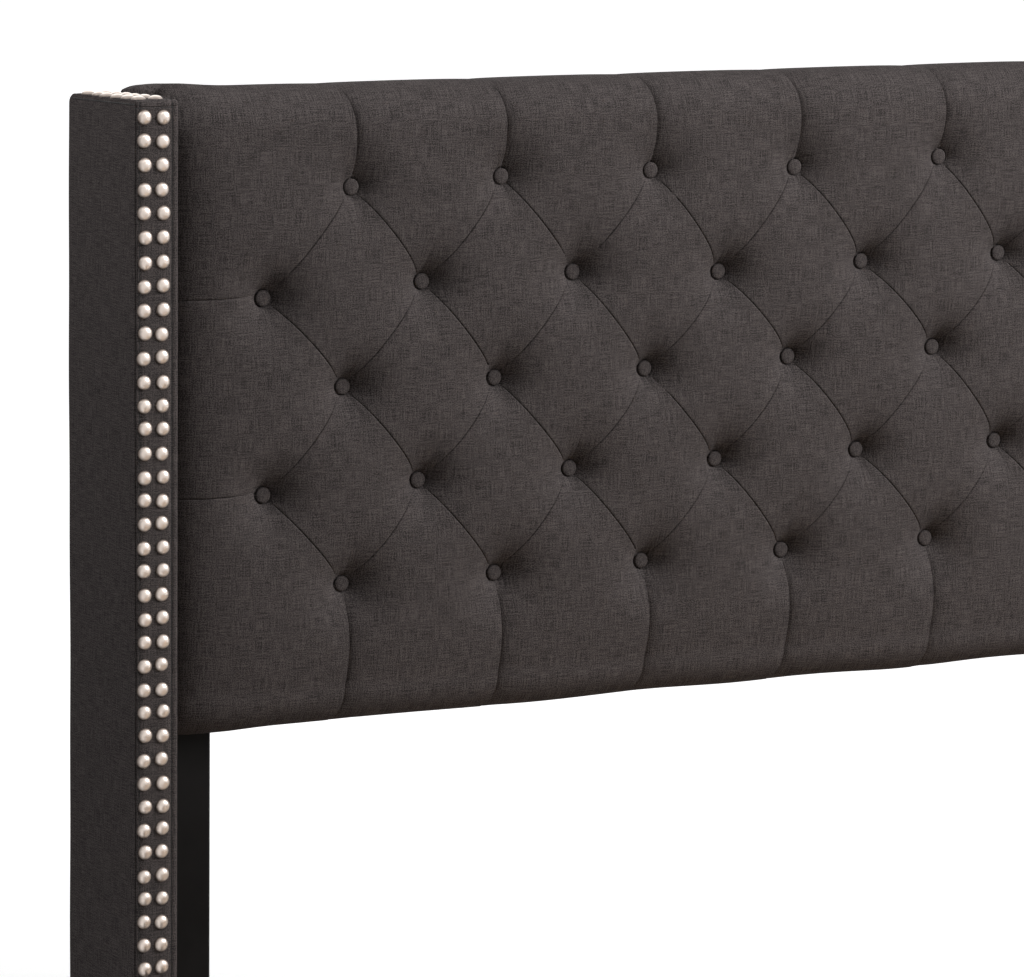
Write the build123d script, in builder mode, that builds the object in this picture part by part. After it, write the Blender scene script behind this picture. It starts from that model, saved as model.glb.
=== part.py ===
from build123d import *
import math
import os

os.makedirs("parts", exist_ok=True)

# An upholstered wing bed for a queen mattress. Millimetres, +Z up, the head end towards +Y.
# The origin is on the floor, under the middle of the bed's outline.

# Mattress and the well it lies in
mattress_width = 1524.0
mattress_length = 2032.0
mattress_side_gap = 6.0
mattress_gap = 15.0

# Headboard
headboard_height = 1372.0
panel_height = 696.0
plywood = 12.0
frame_thickness = 36.0
frame_rail = 70.0
mid_stile = 45.0
mid_stile_count = 3
leg_width = 92.0
leg_chamfer = 2.0
dust_cloth = 1.0
dust_cloth_inset = 10.0

# Tufted pad on the headboard
tuft_columns = 8
tuft_rows = 5
end_column_inset = 144.0
first_row_drop = 108.0
last_row_rise = 148.0
tuft_depth = 28.0
pressed_foam = 12.0
pad_wrap = 12.0
top_roll = 44.0
bottom_roll = 18.0
end_roll = 30.0
end_soft = 62.0
corner_drop = 3.0
soft_gap = 0.3
button_radius = 9.5
button_rise = 6.5
button_seat = 1.0
pleat_share = 0.55
end_shares = (0.2, 0.32, 0.7, 0.95)
lip_share = 0.75
button_taper_deg = 35.0
button_sides = 8

# Wings
wing_thickness = 51.0
wing_depth = 176.0
wing_back_step = 24.0
wing_padding = 6.5
wing_edge = 4.0
wing_inner_edge = 7.0
wing_corner = 12.0
wing_rail_gap = 2.0

# Decorative nails
nail_radius = 8.5
nail_rise = 4.5
nail_pitch = 25.4
nail_column_gap = 22.0
nail_column_offset = 4.5
nail_top_drop = 18.0
nail_taper_deg = 40.0
nail_sides = 6

# Side rails
rail_bottom = 127.0
rail_height = 229.0
rail_core = 30.0
rail_face_padding = 9.0
rail_top_padding = 9.0
rail_under_cloth = 3.0
rail_wrap = 3.0
rail_wrap_drop = 60.0
rail_edge = 6.0
ledger = 30.0
ledger_end_gap = 75.0

# Footboard
foot_panel = 12.0
foot_frame = 33.0
foot_padding = 12.0
foot_end_padding = 9.0
foot_corner_stile = 98.0
foot_frame_rail = 50.0
foot_leg_top = 60.0
foot_leg_bottom = 42.0
foot_leg_inset = 12.0

# Slats, centre beam and centre legs
slat_count = 13
slat_width = 70.0
slat_thickness = 18.0
slat_end_gap = 2.0
slat_edge = 3.0
slat_top_drop = 76.0
webbing_width = 25.0
webbing = 1.2
webbing_place = 380.0
beam_width = 45.0
beam_height = 70.0
beam_end_gap = 1.0
crossbar_height = 110.0
crossbar_thickness = 24.0
dowel_radius = 5.0
dowel_length = 60.0
dowel_spacing = 60.0
centre_leg = 45.0
centre_leg_count = 3
centre_leg_spacing = 620.0
centre_leg_chamfer = 3.0
stud_radius = 4.0
stud_length = 60.0

# Levelling feet
foot_disc_radius = 20.0
foot_disc = 8.0
foot_disc_edge = 2.0
stem_radius = 5.0
stem_length = 48.0
stem_clearance = 0.05
stem_end_room = 6.0
insert_radius = 8.0
insert_length = 16.0
insert_flange_radius = 14.0
insert_flange = 1.5

# Brackets, bolts and glides
steel = 3.0
saddle_wall = 2.5
saddle_play = 0.3
saddle_reach = 40.0
saddle_plate = 90.0
bracket_flange = 40.0
bracket_reach = 60.0
bracket_height = 120.0
bracket_bottom_gap = 40.0
bolt_radius = 4.0
bolt_clearance = 0.25
bolt_head_radius = 7.5
bolt_head = 5.3
bolt_spacing = 64.0
washer_radius = 11.0
washer = 1.6
nut = 6.5
bolt_end_beyond = 1.5
foot_bolt_depth = 30.0
screw_head_radius = 4.5
screw_head = 2.0
screw_head_sides = 6
wing_bracket_height = 60.0
wing_bracket_width = 40.0
wing_bracket_lip = 12.0
wing_bracket = 2.0
wing_bracket_count = 3
wing_bracket_spacing = 250.0
glide_radius = 11.0
glide = 6.0
glide_inset = 30.0

# Places along the bed, from the head end to the foot end
footboard_thickness = foot_padding + foot_panel + foot_frame + rail_wrap
core_thickness = plywood + frame_thickness
pad_build = core_thickness + pressed_foam + tuft_depth
bed_length = wing_back_step + pad_build + mattress_length + 2 * mattress_gap + footboard_thickness
head_end = bed_length / 2
panel_back = head_end - wing_back_step
frame_front = panel_back - frame_thickness
core_front = frame_front - plywood
seat_plane = core_front - pressed_foam
wing_front = head_end - wing_depth
foot_front = -bed_length / 2
foot_back = foot_front + footboard_thickness
foot_frame_back = foot_back - rail_wrap
foot_core_front = foot_front + foot_padding

# Places across the bed and up from the floor
rail_inner = mattress_width / 2 + mattress_side_gap
rail_outer = rail_inner + rail_core + rail_face_padding
panel_half = rail_outer + wing_rail_gap
pad_half = panel_half - soft_gap
wing_outer = panel_half + wing_thickness
leg_inner = pad_half - leg_width
panel_bottom = headboard_height - panel_height
core_top = headboard_height - pad_wrap
core_bottom = panel_bottom + pad_wrap
tuft_pitch = 2 * (panel_half - end_column_inset) / (tuft_columns - 1)
tuft_row_pitch = (panel_height - first_row_drop - last_row_rise) / (tuft_rows - 1)
rail_top = rail_bottom + rail_height
rail_core_top = rail_top - rail_top_padding
rail_core_bottom = rail_bottom + rail_under_cloth
slat_top = rail_top - slat_top_drop
slat_bottom = slat_top - slat_thickness
beam_bottom = slat_bottom - beam_height
nail_column = panel_half + wing_thickness / 2 + nail_column_offset
foot_leg_place = rail_outer - foot_end_padding - foot_leg_inset - foot_leg_top / 2
foot_leg_y = foot_core_front + (foot_panel + foot_frame) / 2


def board(x0, x1, y0, y1, z0, z1, mode=Mode.ADD):
    """One straight board between two corners."""
    with Locations(((x0 + x1) / 2, (y0 + y1) / 2, (z0 + z1) / 2)):
        return Box(x1 - x0, y1 - y0, z1 - z0, mode=mode)


def row_height(row):
    """Height of a tuft row above the floor; row 1 is the top one."""
    return headboard_height - first_row_drop - (row - 1) * tuft_row_pitch


def column_place(column):
    """Distance from the bed's middle of a half column; even ones hold the rows with eight buttons."""
    return (column - (tuft_columns - 1)) * tuft_pitch / 2


def pillow_share(column, row):
    """How far the pad stands up, as a share of the tuft depth: none at a button, all between four of them."""
    one = abs(math.sin(math.pi * (column + row) / 2))
    other = abs(math.sin(math.pi * (column - row) / 2))
    diamond = pleat_share * max(one, other) + (1 - pleat_share) * min(one, other)
    level_pleat = pleat_share + (1 - pleat_share) * abs(math.sin(math.pi * row / 2))
    upright_pleat = pleat_share + (1 - pleat_share) * abs(math.cos(math.pi * column / 2))
    last_column = 2 * (tuft_columns - 1)
    beside = min(1, max(0, -column, column - last_column))
    beyond = min(1, max(0, 1 - row, row - tuft_rows))
    inside = diamond * (1 - beside) * (1 - beyond)
    edges = level_pleat * beside * (1 - beyond) + upright_pleat * beyond * (1 - beside)
    return inside + edges + beside * beyond


# Heights along one section of the pad, from the bottom roll up to the top roll, each with its row
seat_half = button_radius + button_seat
section_rows = [(panel_bottom + bottom_roll, tuft_rows + 1), (row_height(tuft_rows + 0.5), tuft_rows + 0.5)]
for row in range(tuft_rows, 0, -1):
    section_rows += [(row_height(row) - seat_half, row), (row_height(row) + seat_half, row)]
    if row > 1:
        section_rows.append((row_height(row - 0.5), row - 0.5))
roll_row = (first_row_drop - top_roll) / tuft_row_pitch
section_rows.append((headboard_height - top_roll, 1 - roll_row))

# Stations across the pad from the left wing to the right one: place, half column and share at the edge
last_column = 2 * (tuft_columns - 1)
left_end = [
    (-pad_half, -1, end_shares[0]),
    (-pad_half + end_roll, -1, end_shares[1]),
    (-pad_half + end_soft, -1, end_shares[2]),
    (column_place(-0.5), -0.5, end_shares[3]),
]
stations = list(left_end)
for column in range(last_column + 1):
    stations.append((column_place(column) - seat_half, column, 1))
    stations.append((column_place(column) + seat_half, column, 1))
    if column < last_column:
        stations.append((column_place(column + 0.5), column + 0.5, 1))
stations += [(-place, last_column - column, share) for place, column, share in reversed(left_end)]

with BuildPart() as tufted_pad:
    for place, column, end_share in stations:
        top = headboard_height - corner_drop * (1 - end_share)
        rise = tuft_depth * end_share
        front = [(seat_plane - rise * pillow_share(column, row), height) for height, row in section_rows]
        low_y = seat_plane - rise * lip_share
        front[0] = (low_y, front[0][1])
        high_y, high_z = front[-1]
        roll = top - high_z
        with BuildSketch(Plane(origin=(place, 0, 0), x_dir=(0, 1, 0), z_dir=(1, 0, 0))):
            with BuildLine():
                Line((panel_back, panel_bottom), (low_y + bottom_roll, panel_bottom))
                RadiusArc((low_y + bottom_roll, panel_bottom), front[0], bottom_roll)
                Polyline(*front)
                RadiusArc((high_y, high_z), (high_y + roll, top), roll)
                Polyline(
                    (high_y + roll, top),
                    (panel_back, top),
                    (panel_back, core_top),
                    (core_front, core_top),
                    (core_front, core_bottom),
                    (panel_back, core_bottom),
                    (panel_back, panel_bottom),
                )
            make_face()
    loft(ruled=True)
    # the legs come down through the cloth under the panel
    for side in (-1, 1):
        xs = sorted((side * leg_inner, side * pad_half))
        board(
            xs[0], xs[1], frame_front, panel_back, panel_bottom, core_bottom, mode=Mode.SUBTRACT
        )
tufted_pad.part.label = "tufted_pad"
export_step(tufted_pad.part, "parts/tufted_pad.step")

# Buttons: rows two and four hold one for each column, the other rows one between each pair
button_places = [
    (column_place(column), row_height(row))
    for row in range(1, tuft_rows + 1)
    for column in range(row % 2, last_column + 1, 2)
]
with BuildPart() as tuft_buttons:
    with BuildSketch(Plane(origin=(0, seat_plane, 0), x_dir=(1, 0, 0), z_dir=(0, -1, 0))):
        with Locations(*button_places):
            RegularPolygon(radius=button_radius, side_count=button_sides)
    extrude(amount=button_rise, taper=button_taper_deg)
tuft_buttons.part.label = "tuft_buttons"
export_step(tuft_buttons.part, "parts/tuft_buttons.step")

# Headboard core: plywood on a frame whose outer stiles are the legs
with BuildPart() as headboard_panel:
    board(-pad_half, pad_half, core_front, frame_front, core_bottom, core_top)
headboard_panel.part.label = "headboard_panel"
export_step(headboard_panel.part, "parts/headboard_panel.step")

with BuildPart() as headboard_top_rail:
    board(-leg_inner, leg_inner, frame_front, panel_back, core_top - frame_rail, core_top)
headboard_top_rail.part.label = "headboard_top_rail"
export_step(headboard_top_rail.part, "parts/headboard_top_rail.step")

with BuildPart() as headboard_bottom_rail:
    board(-leg_inner, leg_inner, frame_front, panel_back, core_bottom, core_bottom + frame_rail)
headboard_bottom_rail.part.label = "headboard_bottom_rail"
export_step(headboard_bottom_rail.part, "parts/headboard_bottom_rail.step")

with BuildPart() as headboard_mid_stiles:
    for number in range(1, mid_stile_count + 1):
        centre = -leg_inner + 2 * leg_inner * number / (mid_stile_count + 1)
        board(
            centre - mid_stile / 2,
            centre + mid_stile / 2,
            frame_front,
            panel_back,
            core_bottom + frame_rail,
            core_top - frame_rail,
        )
headboard_mid_stiles.part.label = "headboard_mid_stiles"
export_step(headboard_mid_stiles.part, "parts/headboard_mid_stiles.step")

with BuildPart() as headboard_dust_cloth:
    board(
        -pad_half + dust_cloth_inset,
        pad_half - dust_cloth_inset,
        panel_back,
        panel_back + dust_cloth,
        panel_bottom + dust_cloth_inset,
        headboard_height - dust_cloth_inset,
    )
headboard_dust_cloth.part.label = "headboard_dust_cloth"
export_step(headboard_dust_cloth.part, "parts/headboard_dust_cloth.step")

# Corner brackets: their bolts pass through the legs at the head and into the footboard at the foot
bracket_bottom = rail_bottom + bracket_bottom_gap
bracket_top = bracket_bottom + bracket_height
bolt_x = rail_inner - bracket_flange / 2
bolt_heights = [(bracket_bottom + bracket_top + sign * bolt_spacing) / 2 for sign in (-1, 1)]
bolt_places = [(bolt_x, height) for height in bolt_heights]
hole_radius = bolt_radius + bolt_clearance
crossbar_top = slat_bottom
dowel_heights = [crossbar_top - crossbar_height / 2 + sign * dowel_spacing / 2 for sign in (-1, 1)]
dowel_y = frame_front + crossbar_thickness / 2

with BuildPart() as right_leg:
    board(leg_inner, pad_half, frame_front, panel_back, glide, core_top)
    chamfer(right_leg.edges().filter_by(Axis.Z), leg_chamfer)
    with BuildSketch(Plane(origin=(0, frame_front, 0), x_dir=(1, 0, 0), z_dir=(0, -1, 0))):
        with Locations(*bolt_places):
            Circle(hole_radius)
    extrude(amount=-frame_thickness, mode=Mode.SUBTRACT)
    with Locations(Plane(origin=(leg_inner, dowel_y, 0), x_dir=(0, 1, 0), z_dir=(1, 0, 0))):
        with Locations(*[(0, height) for height in dowel_heights]):
            Cylinder(dowel_radius, dowel_length, mode=Mode.SUBTRACT)
right_leg.part.label = "right_headboard_leg"
export_step(right_leg.part, "parts/right_headboard_leg.step")

with BuildPart() as left_leg:
    mirror(right_leg.part, about=Plane.YZ)
left_leg.part.label = "left_headboard_leg"
export_step(left_leg.part, "parts/left_headboard_leg.step")

# Head crossbar between the legs, on dowels
with BuildPart() as head_crossbar:
    board(
        -leg_inner,
        leg_inner,
        frame_front,
        frame_front + crossbar_thickness,
        crossbar_top - crossbar_height,
        crossbar_top,
    )
    for side in (-1, 1):
        with Locations(Plane(origin=(side * leg_inner, dowel_y, 0), x_dir=(0, 1, 0), z_dir=(1, 0, 0))):
            with Locations(*[(0, height) for height in dowel_heights]):
                Cylinder(dowel_radius, dowel_length, mode=Mode.SUBTRACT)
head_crossbar.part.label = "head_crossbar"
export_step(head_crossbar.part, "parts/head_crossbar.step")

with BuildPart() as crossbar_dowels:
    for side in (-1, 1):
        with Locations(Plane(origin=(side * leg_inner, dowel_y, 0), x_dir=(0, 1, 0), z_dir=(1, 0, 0))):
            with Locations(*[(0, height) for height in dowel_heights]):
                Cylinder(dowel_radius, dowel_length)
crossbar_dowels.part.label = "crossbar_dowels"
export_step(crossbar_dowels.part, "parts/crossbar_dowels.step")

# Wings: a timber core in a stitched cover that is open at the bottom
with BuildPart() as right_wing_core:
    board(
        panel_half + wing_padding,
        wing_outer - wing_padding,
        wing_front + wing_padding,
        head_end - wing_padding,
        glide,
        headboard_height - wing_padding,
    )
right_wing_core.part.label = "right_wing_core"
export_step(right_wing_core.part, "parts/right_wing_core.step")

with BuildPart() as right_wing_cover:
    with BuildSketch(Plane.YZ.offset(panel_half)) as wing_side:
        with Locations(((wing_front + head_end) / 2, (glide + headboard_height) / 2)):
            Rectangle(wing_depth, headboard_height - glide)
        fillet(wing_side.vertices().group_by(Axis.Y)[-1].sort_by(Axis.X)[-1], wing_corner)
    extrude(amount=wing_thickness)
    front_edges = right_wing_cover.edges().filter_by(Axis.Z).group_by(Axis.Y)[0].sort_by(Axis.X)
    fillet(front_edges[0], wing_inner_edge)
    side_faces = right_wing_cover.faces().filter_by(Axis.X).sort_by(Axis.X)
    side_edges = side_faces[-1].edges().filter_by(lambda edge: edge.center().Z > glide)
    fillet(side_edges, wing_edge)
    add(right_wing_core.part, mode=Mode.SUBTRACT)
right_wing_cover.part.label = "right_wing_cover"
export_step(right_wing_cover.part, "parts/right_wing_cover.step")

# Nails: two columns down the front band and back over the top of the wing
nail_columns = [nail_column - nail_column_gap / 2, nail_column + nail_column_gap / 2]
nail_rows = int((headboard_height - nail_top_drop - nail_radius - glide) / nail_pitch) + 1
nail_steps = int((wing_depth - nail_top_drop - wing_corner) / nail_pitch) + 1
with BuildPart() as right_wing_nails:
    with BuildSketch(Plane(origin=(0, wing_front, 0), x_dir=(1, 0, 0), z_dir=(0, -1, 0))):
        with Locations(
            *[
                (column, headboard_height - nail_top_drop - number * nail_pitch)
                for column in nail_columns
                for number in range(nail_rows)
            ]
        ):
            RegularPolygon(radius=nail_radius, side_count=nail_sides)
    extrude(amount=nail_rise, taper=nail_taper_deg)
    with BuildSketch(Plane.XY.offset(headboard_height)):
        with Locations(
            *[
                (column, wing_front + nail_top_drop + number * nail_pitch)
                for column in nail_columns
                for number in range(nail_steps)
            ]
        ):
            RegularPolygon(radius=nail_radius, side_count=nail_sides)
    extrude(amount=nail_rise, taper=nail_taper_deg)
right_wing_nails.part.label = "right_wing_nails"
export_step(right_wing_nails.part, "parts/right_wing_nails.step")

for name, source in (
    ("left_wing_core", right_wing_core),
    ("left_wing_cover", right_wing_cover),
    ("left_wing_nails", right_wing_nails),
):
    with BuildPart() as left_piece:
        mirror(source.part, about=Plane.YZ)
    left_piece.part.label = name
    export_step(left_piece.part, f"parts/{name}.step")

# Angle brackets that hold the wings to the headboard's back
cloth_back = panel_back + dust_cloth
wing_bracket_top = headboard_height - wing_bracket_height
wing_bracket_heights = [
    wing_bracket_top - wing_bracket_height / 2 - number * wing_bracket_spacing
    for number in range(wing_bracket_count)
]
with BuildPart() as wing_brackets:
    for side in (-1, 1):
        for height in wing_bracket_heights:
            low = height - wing_bracket_height / 2
            high = height + wing_bracket_height / 2
            inner = side * (panel_half - wing_bracket_width)
            face = side * panel_half
            lip = side * (panel_half - wing_bracket)
            xs = sorted((inner, face))
            board(xs[0], xs[1], cloth_back, cloth_back + wing_bracket, low, high)
            xs = sorted((lip, face))
            board(xs[0], xs[1], cloth_back, cloth_back + wing_bracket_lip, low, high)
wing_brackets.part.label = "wing_brackets"
export_step(wing_brackets.part, "parts/wing_brackets.step")

with BuildPart() as wing_bracket_screws:
    screw_plane = Plane(
        origin=(0, cloth_back + wing_bracket, 0), x_dir=(-1, 0, 0), z_dir=(0, 1, 0)
    )
    with BuildSketch(screw_plane):
        with Locations(
            *[
                (side * (panel_half - wing_bracket_width / 2), height + sign * wing_bracket_height / 4)
                for side in (-1, 1)
                for height in wing_bracket_heights
                for sign in (-1, 1)
            ]
        ):
            RegularPolygon(radius=screw_head_radius, side_count=screw_head_sides)
    extrude(amount=screw_head)
wing_bracket_screws.part.label = "wing_bracket_screws"
export_step(wing_bracket_screws.part, "parts/wing_bracket_screws.step")

# Side rails: a board in a padded cover that wraps over the top to the inside
rail_head = frame_front
rail_foot = foot_back
with BuildPart() as right_rail_core:
    board(rail_inner, rail_inner + rail_core, rail_foot, rail_head, rail_core_bottom, rail_core_top)
right_rail_core.part.label = "right_rail_core"
export_step(right_rail_core.part, "parts/right_rail_core.step")

with BuildPart() as right_rail_cover:
    with BuildSketch(Plane(origin=(0, rail_head, 0), x_dir=(1, 0, 0), z_dir=(0, -1, 0))) as rail_section:
        with BuildLine():
            Polyline(
                (rail_inner, rail_bottom),
                (rail_outer, rail_bottom),
                (rail_outer, rail_top),
                (rail_inner - rail_wrap, rail_top),
                (rail_inner - rail_wrap, rail_top - rail_wrap_drop),
                (rail_inner, rail_top - rail_wrap_drop),
                (rail_inner, rail_core_top),
                (rail_inner + rail_core, rail_core_top),
                (rail_inner + rail_core, rail_core_bottom),
                (rail_inner, rail_core_bottom),
                close=True,
            )
        make_face()
        fillet(rail_section.vertices().group_by(Axis.Y)[-1], rail_edge)
        fillet(rail_section.vertices().group_by(Axis.Y)[0].sort_by(Axis.X)[-1], rail_under_cloth)
    extrude(amount=rail_head - rail_foot)
right_rail_cover.part.label = "right_rail_cover"
export_step(right_rail_cover.part, "parts/right_rail_cover.step")

with BuildPart() as right_ledger:
    board(
        rail_inner - ledger,
        rail_inner,
        foot_frame_back + ledger_end_gap,
        rail_head - ledger_end_gap,
        slat_bottom - ledger,
        slat_bottom,
    )
right_ledger.part.label = "right_ledger"
export_step(right_ledger.part, "parts/right_ledger.step")

for name, source in (
    ("left_rail_core", right_rail_core),
    ("left_rail_cover", right_rail_cover),
    ("left_ledger", right_ledger),
):
    with BuildPart() as left_piece:
        mirror(source.part, about=Plane.YZ)
    left_piece.part.label = name
    export_step(left_piece.part, f"parts/{name}.step")


def corner_bracket(face, inward):
    """One steel angle at a rail's end: face is the plane it bolts to, inward the way along the rail."""
    reach = face + inward * bracket_reach
    plate = face + inward * steel
    ys = sorted((face, plate))
    board(rail_inner - bracket_flange, rail_inner, ys[0], ys[1], bracket_bottom, bracket_top)
    ys = sorted((face, reach))
    board(rail_inner - steel, rail_inner, ys[0], ys[1], bracket_bottom, bracket_top)


for name, face, inward in (
    ("head_rail_brackets", frame_front, -1),
    ("foot_rail_brackets", foot_frame_back, 1),
):
    with BuildPart() as rail_brackets:
        corner_bracket(face, inward)
        with BuildSketch(Plane(origin=(0, face, 0), x_dir=(1, 0, 0), z_dir=(0, -1, 0))):
            with Locations(*bolt_places):
                Circle(hole_radius)
        extrude(amount=steel, both=True, mode=Mode.SUBTRACT)
        mirror(about=Plane.YZ)
    rail_brackets.part.label = name
    export_step(rail_brackets.part, f"parts/{name}.step")

# Screws that hold the brackets to the rails
with BuildPart() as rail_bracket_screws:
    for face, inward in ((frame_front, -1), (foot_frame_back, 1)):
        with BuildSketch(Plane(origin=(rail_inner - steel, 0, 0), x_dir=(0, 1, 0), z_dir=(-1, 0, 0))):
            with Locations(
                *[
                    (face + inward * (bracket_reach + steel) / 2, -height)
                    for height in (bracket_bottom + bracket_height / 4, bracket_top - bracket_height / 4)
                ]
            ):
                RegularPolygon(radius=screw_head_radius, side_count=screw_head_sides)
        extrude(amount=screw_head)
    mirror(about=Plane.YZ)
rail_bracket_screws.part.label = "rail_bracket_screws"
export_step(rail_bracket_screws.part, "parts/rail_bracket_screws.step")


head_bolt_length = steel + frame_thickness + washer + nut + bolt_end_beyond
for name, seat, inward, length in (
    ("head_bolts", frame_front - steel, -1, head_bolt_length),
    ("foot_bolts", foot_frame_back + steel, 1, steel + foot_bolt_depth),
):
    with BuildPart() as bolts:
        for x, height in bolt_places:
            with BuildSketch(Plane(origin=(x, seat, height), x_dir=(1, 0, 0), z_dir=(0, inward, 0))):
                RegularPolygon(radius=bolt_head_radius, side_count=6)
            extrude(amount=bolt_head)
            with BuildSketch(Plane(origin=(x, seat, height), x_dir=(1, 0, 0), z_dir=(0, -inward, 0))):
                Circle(bolt_radius)
            extrude(amount=length)
        mirror(about=Plane.YZ)
    bolts.part.label = name
    export_step(bolts.part, f"parts/{name}.step")

with BuildPart() as bolt_washers:
    with BuildSketch(Plane(origin=(0, panel_back, 0), x_dir=(-1, 0, 0), z_dir=(0, 1, 0))):
        with Locations(*[(side * x, height) for side in (-1, 1) for x, height in bolt_places]):
            Circle(washer_radius)
            Circle(hole_radius, mode=Mode.SUBTRACT)
    extrude(amount=washer)
bolt_washers.part.label = "bolt_washers"
export_step(bolt_washers.part, "parts/bolt_washers.step")

with BuildPart() as bolt_nuts:
    with BuildSketch(Plane(origin=(0, panel_back + washer, 0), x_dir=(-1, 0, 0), z_dir=(0, 1, 0))):
        with Locations(*[(side * x, height) for side in (-1, 1) for x, height in bolt_places]):
            RegularPolygon(radius=bolt_head_radius, side_count=6)
            Circle(hole_radius, mode=Mode.SUBTRACT)
    extrude(amount=nut)
bolt_nuts.part.label = "bolt_nuts"
export_step(bolt_nuts.part, "parts/bolt_nuts.step")

# Footboard: plywood on a frame, in a padded cover that wraps over the top to the inside
foot_half = rail_outer - foot_end_padding
foot_core_back = foot_core_front + foot_panel
with BuildPart() as footboard_panel:
    board(-foot_half, foot_half, foot_core_front, foot_core_back, rail_core_bottom, rail_core_top)
footboard_panel.part.label = "footboard_panel"
export_step(footboard_panel.part, "parts/footboard_panel.step")

foot_stile_inner = foot_half - foot_corner_stile
with BuildPart() as footboard_rails:
    for low in (rail_core_bottom, rail_core_top - foot_frame_rail):
        board(
            -foot_stile_inner,
            foot_stile_inner,
            foot_core_back,
            foot_frame_back,
            low,
            low + foot_frame_rail,
        )
footboard_rails.part.label = "footboard_rails"
export_step(footboard_rails.part, "parts/footboard_rails.step")

with BuildPart() as footboard_stiles:
    board(foot_stile_inner, foot_half, foot_core_back, foot_frame_back, rail_core_bottom, rail_core_top)
    with BuildSketch(Plane(origin=(0, foot_frame_back, 0), x_dir=(-1, 0, 0), z_dir=(0, 1, 0))):
        with Locations(*[(-x, height) for x, height in bolt_places]):
            Circle(hole_radius)
    extrude(amount=-foot_bolt_depth, mode=Mode.SUBTRACT)
    mirror(about=Plane.YZ)
    for centre in (-foot_stile_inner / 2, 0, foot_stile_inner / 2):
        board(
            centre - mid_stile / 2,
            centre + mid_stile / 2,
            foot_core_back,
            foot_frame_back,
            rail_core_bottom + foot_frame_rail,
            rail_core_top - foot_frame_rail,
        )
footboard_stiles.part.label = "footboard_stiles"
export_step(footboard_stiles.part, "parts/footboard_stiles.step")

with BuildPart() as footboard_cover:
    with BuildSketch(Plane(origin=(-rail_outer, 0, 0), x_dir=(0, 1, 0), z_dir=(1, 0, 0))) as foot_section:
        with BuildLine():
            Polyline(
                (foot_front, rail_bottom),
                (foot_frame_back, rail_bottom),
                (foot_frame_back, rail_top - rail_wrap_drop),
                (foot_back, rail_top - rail_wrap_drop),
                (foot_back, rail_top),
                (foot_front, rail_top),
                close=True,
            )
        make_face()
        fillet(foot_section.vertices().group_by(Axis.Y)[-1], rail_edge)
    extrude(amount=2 * rail_outer)
    corners = footboard_cover.edges().filter_by(Axis.Z).group_by(Axis.Y)[0]
    fillet(corners, rail_edge)
    board(
        -foot_half, foot_half, foot_core_front, foot_frame_back, rail_core_bottom, rail_core_top,
        mode=Mode.SUBTRACT,
    )
footboard_cover.part.label = "footboard_cover"
export_step(footboard_cover.part, "parts/footboard_cover.step")

# Tapered feet under the footboard's ends
with BuildPart() as foot_legs:
    for side in (-1, 1):
        with BuildSketch(Plane(origin=(side * foot_leg_place, foot_leg_y, glide))):
            Rectangle(foot_leg_bottom, foot_leg_bottom)
        with BuildSketch(Plane(origin=(side * foot_leg_place, foot_leg_y, rail_bottom))):
            Rectangle(foot_leg_top, foot_leg_top)
        loft()
foot_legs.part.label = "foot_legs"
export_step(foot_legs.part, "parts/foot_legs.step")

# Centre beam, its saddles and the legs under it
beam_head = frame_front - steel - beam_end_gap
beam_foot = foot_frame_back + steel + beam_end_gap
centre_leg_places = [
    (number - (centre_leg_count - 1) / 2) * centre_leg_spacing for number in range(centre_leg_count)
]
with BuildPart() as centre_beam:
    board(-beam_width / 2, beam_width / 2, beam_foot, beam_head, beam_bottom, slat_bottom)
    with BuildSketch(Plane.XY.offset(beam_bottom)):
        with Locations(*[(0, place) for place in centre_leg_places]):
            Circle(stud_radius)
    extrude(amount=stud_length / 2, mode=Mode.SUBTRACT)
centre_beam.part.label = "centre_beam"
export_step(centre_beam.part, "parts/centre_beam.step")

saddle_half = beam_width / 2 + saddle_play
with BuildPart() as beam_saddles:
    for face, inward in ((frame_front, -1), (foot_frame_back, 1)):
        ys = sorted((face, face + inward * steel))
        low = beam_bottom - saddle_wall - saddle_play
        board(-saddle_plate / 2, saddle_plate / 2, ys[0], ys[1], low, slat_bottom)
        ys = sorted((face, face + inward * saddle_reach))
        outer = saddle_half + saddle_wall
        board(-outer, outer, ys[0], ys[1], low, low + saddle_wall)
        board(-outer, -saddle_half, ys[0], ys[1], low, slat_bottom)
        board(saddle_half, outer, ys[0], ys[1], low, slat_bottom)
beam_saddles.part.label = "beam_saddles"
export_step(beam_saddles.part, "parts/beam_saddles.step")

leg_bottom = foot_disc + soft_gap + insert_flange
with BuildPart() as leg_studs:
    for place in centre_leg_places:
        with Locations((0, place, beam_bottom)):
            Cylinder(stud_radius, stud_length)
leg_studs.part.label = "centre_leg_studs"
export_step(leg_studs.part, "parts/centre_leg_studs.step")

with BuildPart() as centre_legs:
    for place in centre_leg_places:
        board(
            -centre_leg / 2,
            centre_leg / 2,
            place - centre_leg / 2,
            place + centre_leg / 2,
            leg_bottom,
            beam_bottom,
        )
    chamfer(centre_legs.edges().filter_by(Axis.Z), centre_leg_chamfer)
    for place in centre_leg_places:
        with BuildSketch(Plane(origin=(0, place, beam_bottom))):
            Circle(stud_radius)
        extrude(amount=-stud_length / 2, mode=Mode.SUBTRACT)
        with BuildSketch(Plane(origin=(0, place, leg_bottom))):
            Circle(insert_radius)
        extrude(amount=stem_length + stem_end_room, mode=Mode.SUBTRACT)
centre_legs.part.label = "centre_legs"
export_step(centre_legs.part, "parts/centre_legs.step")

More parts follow.
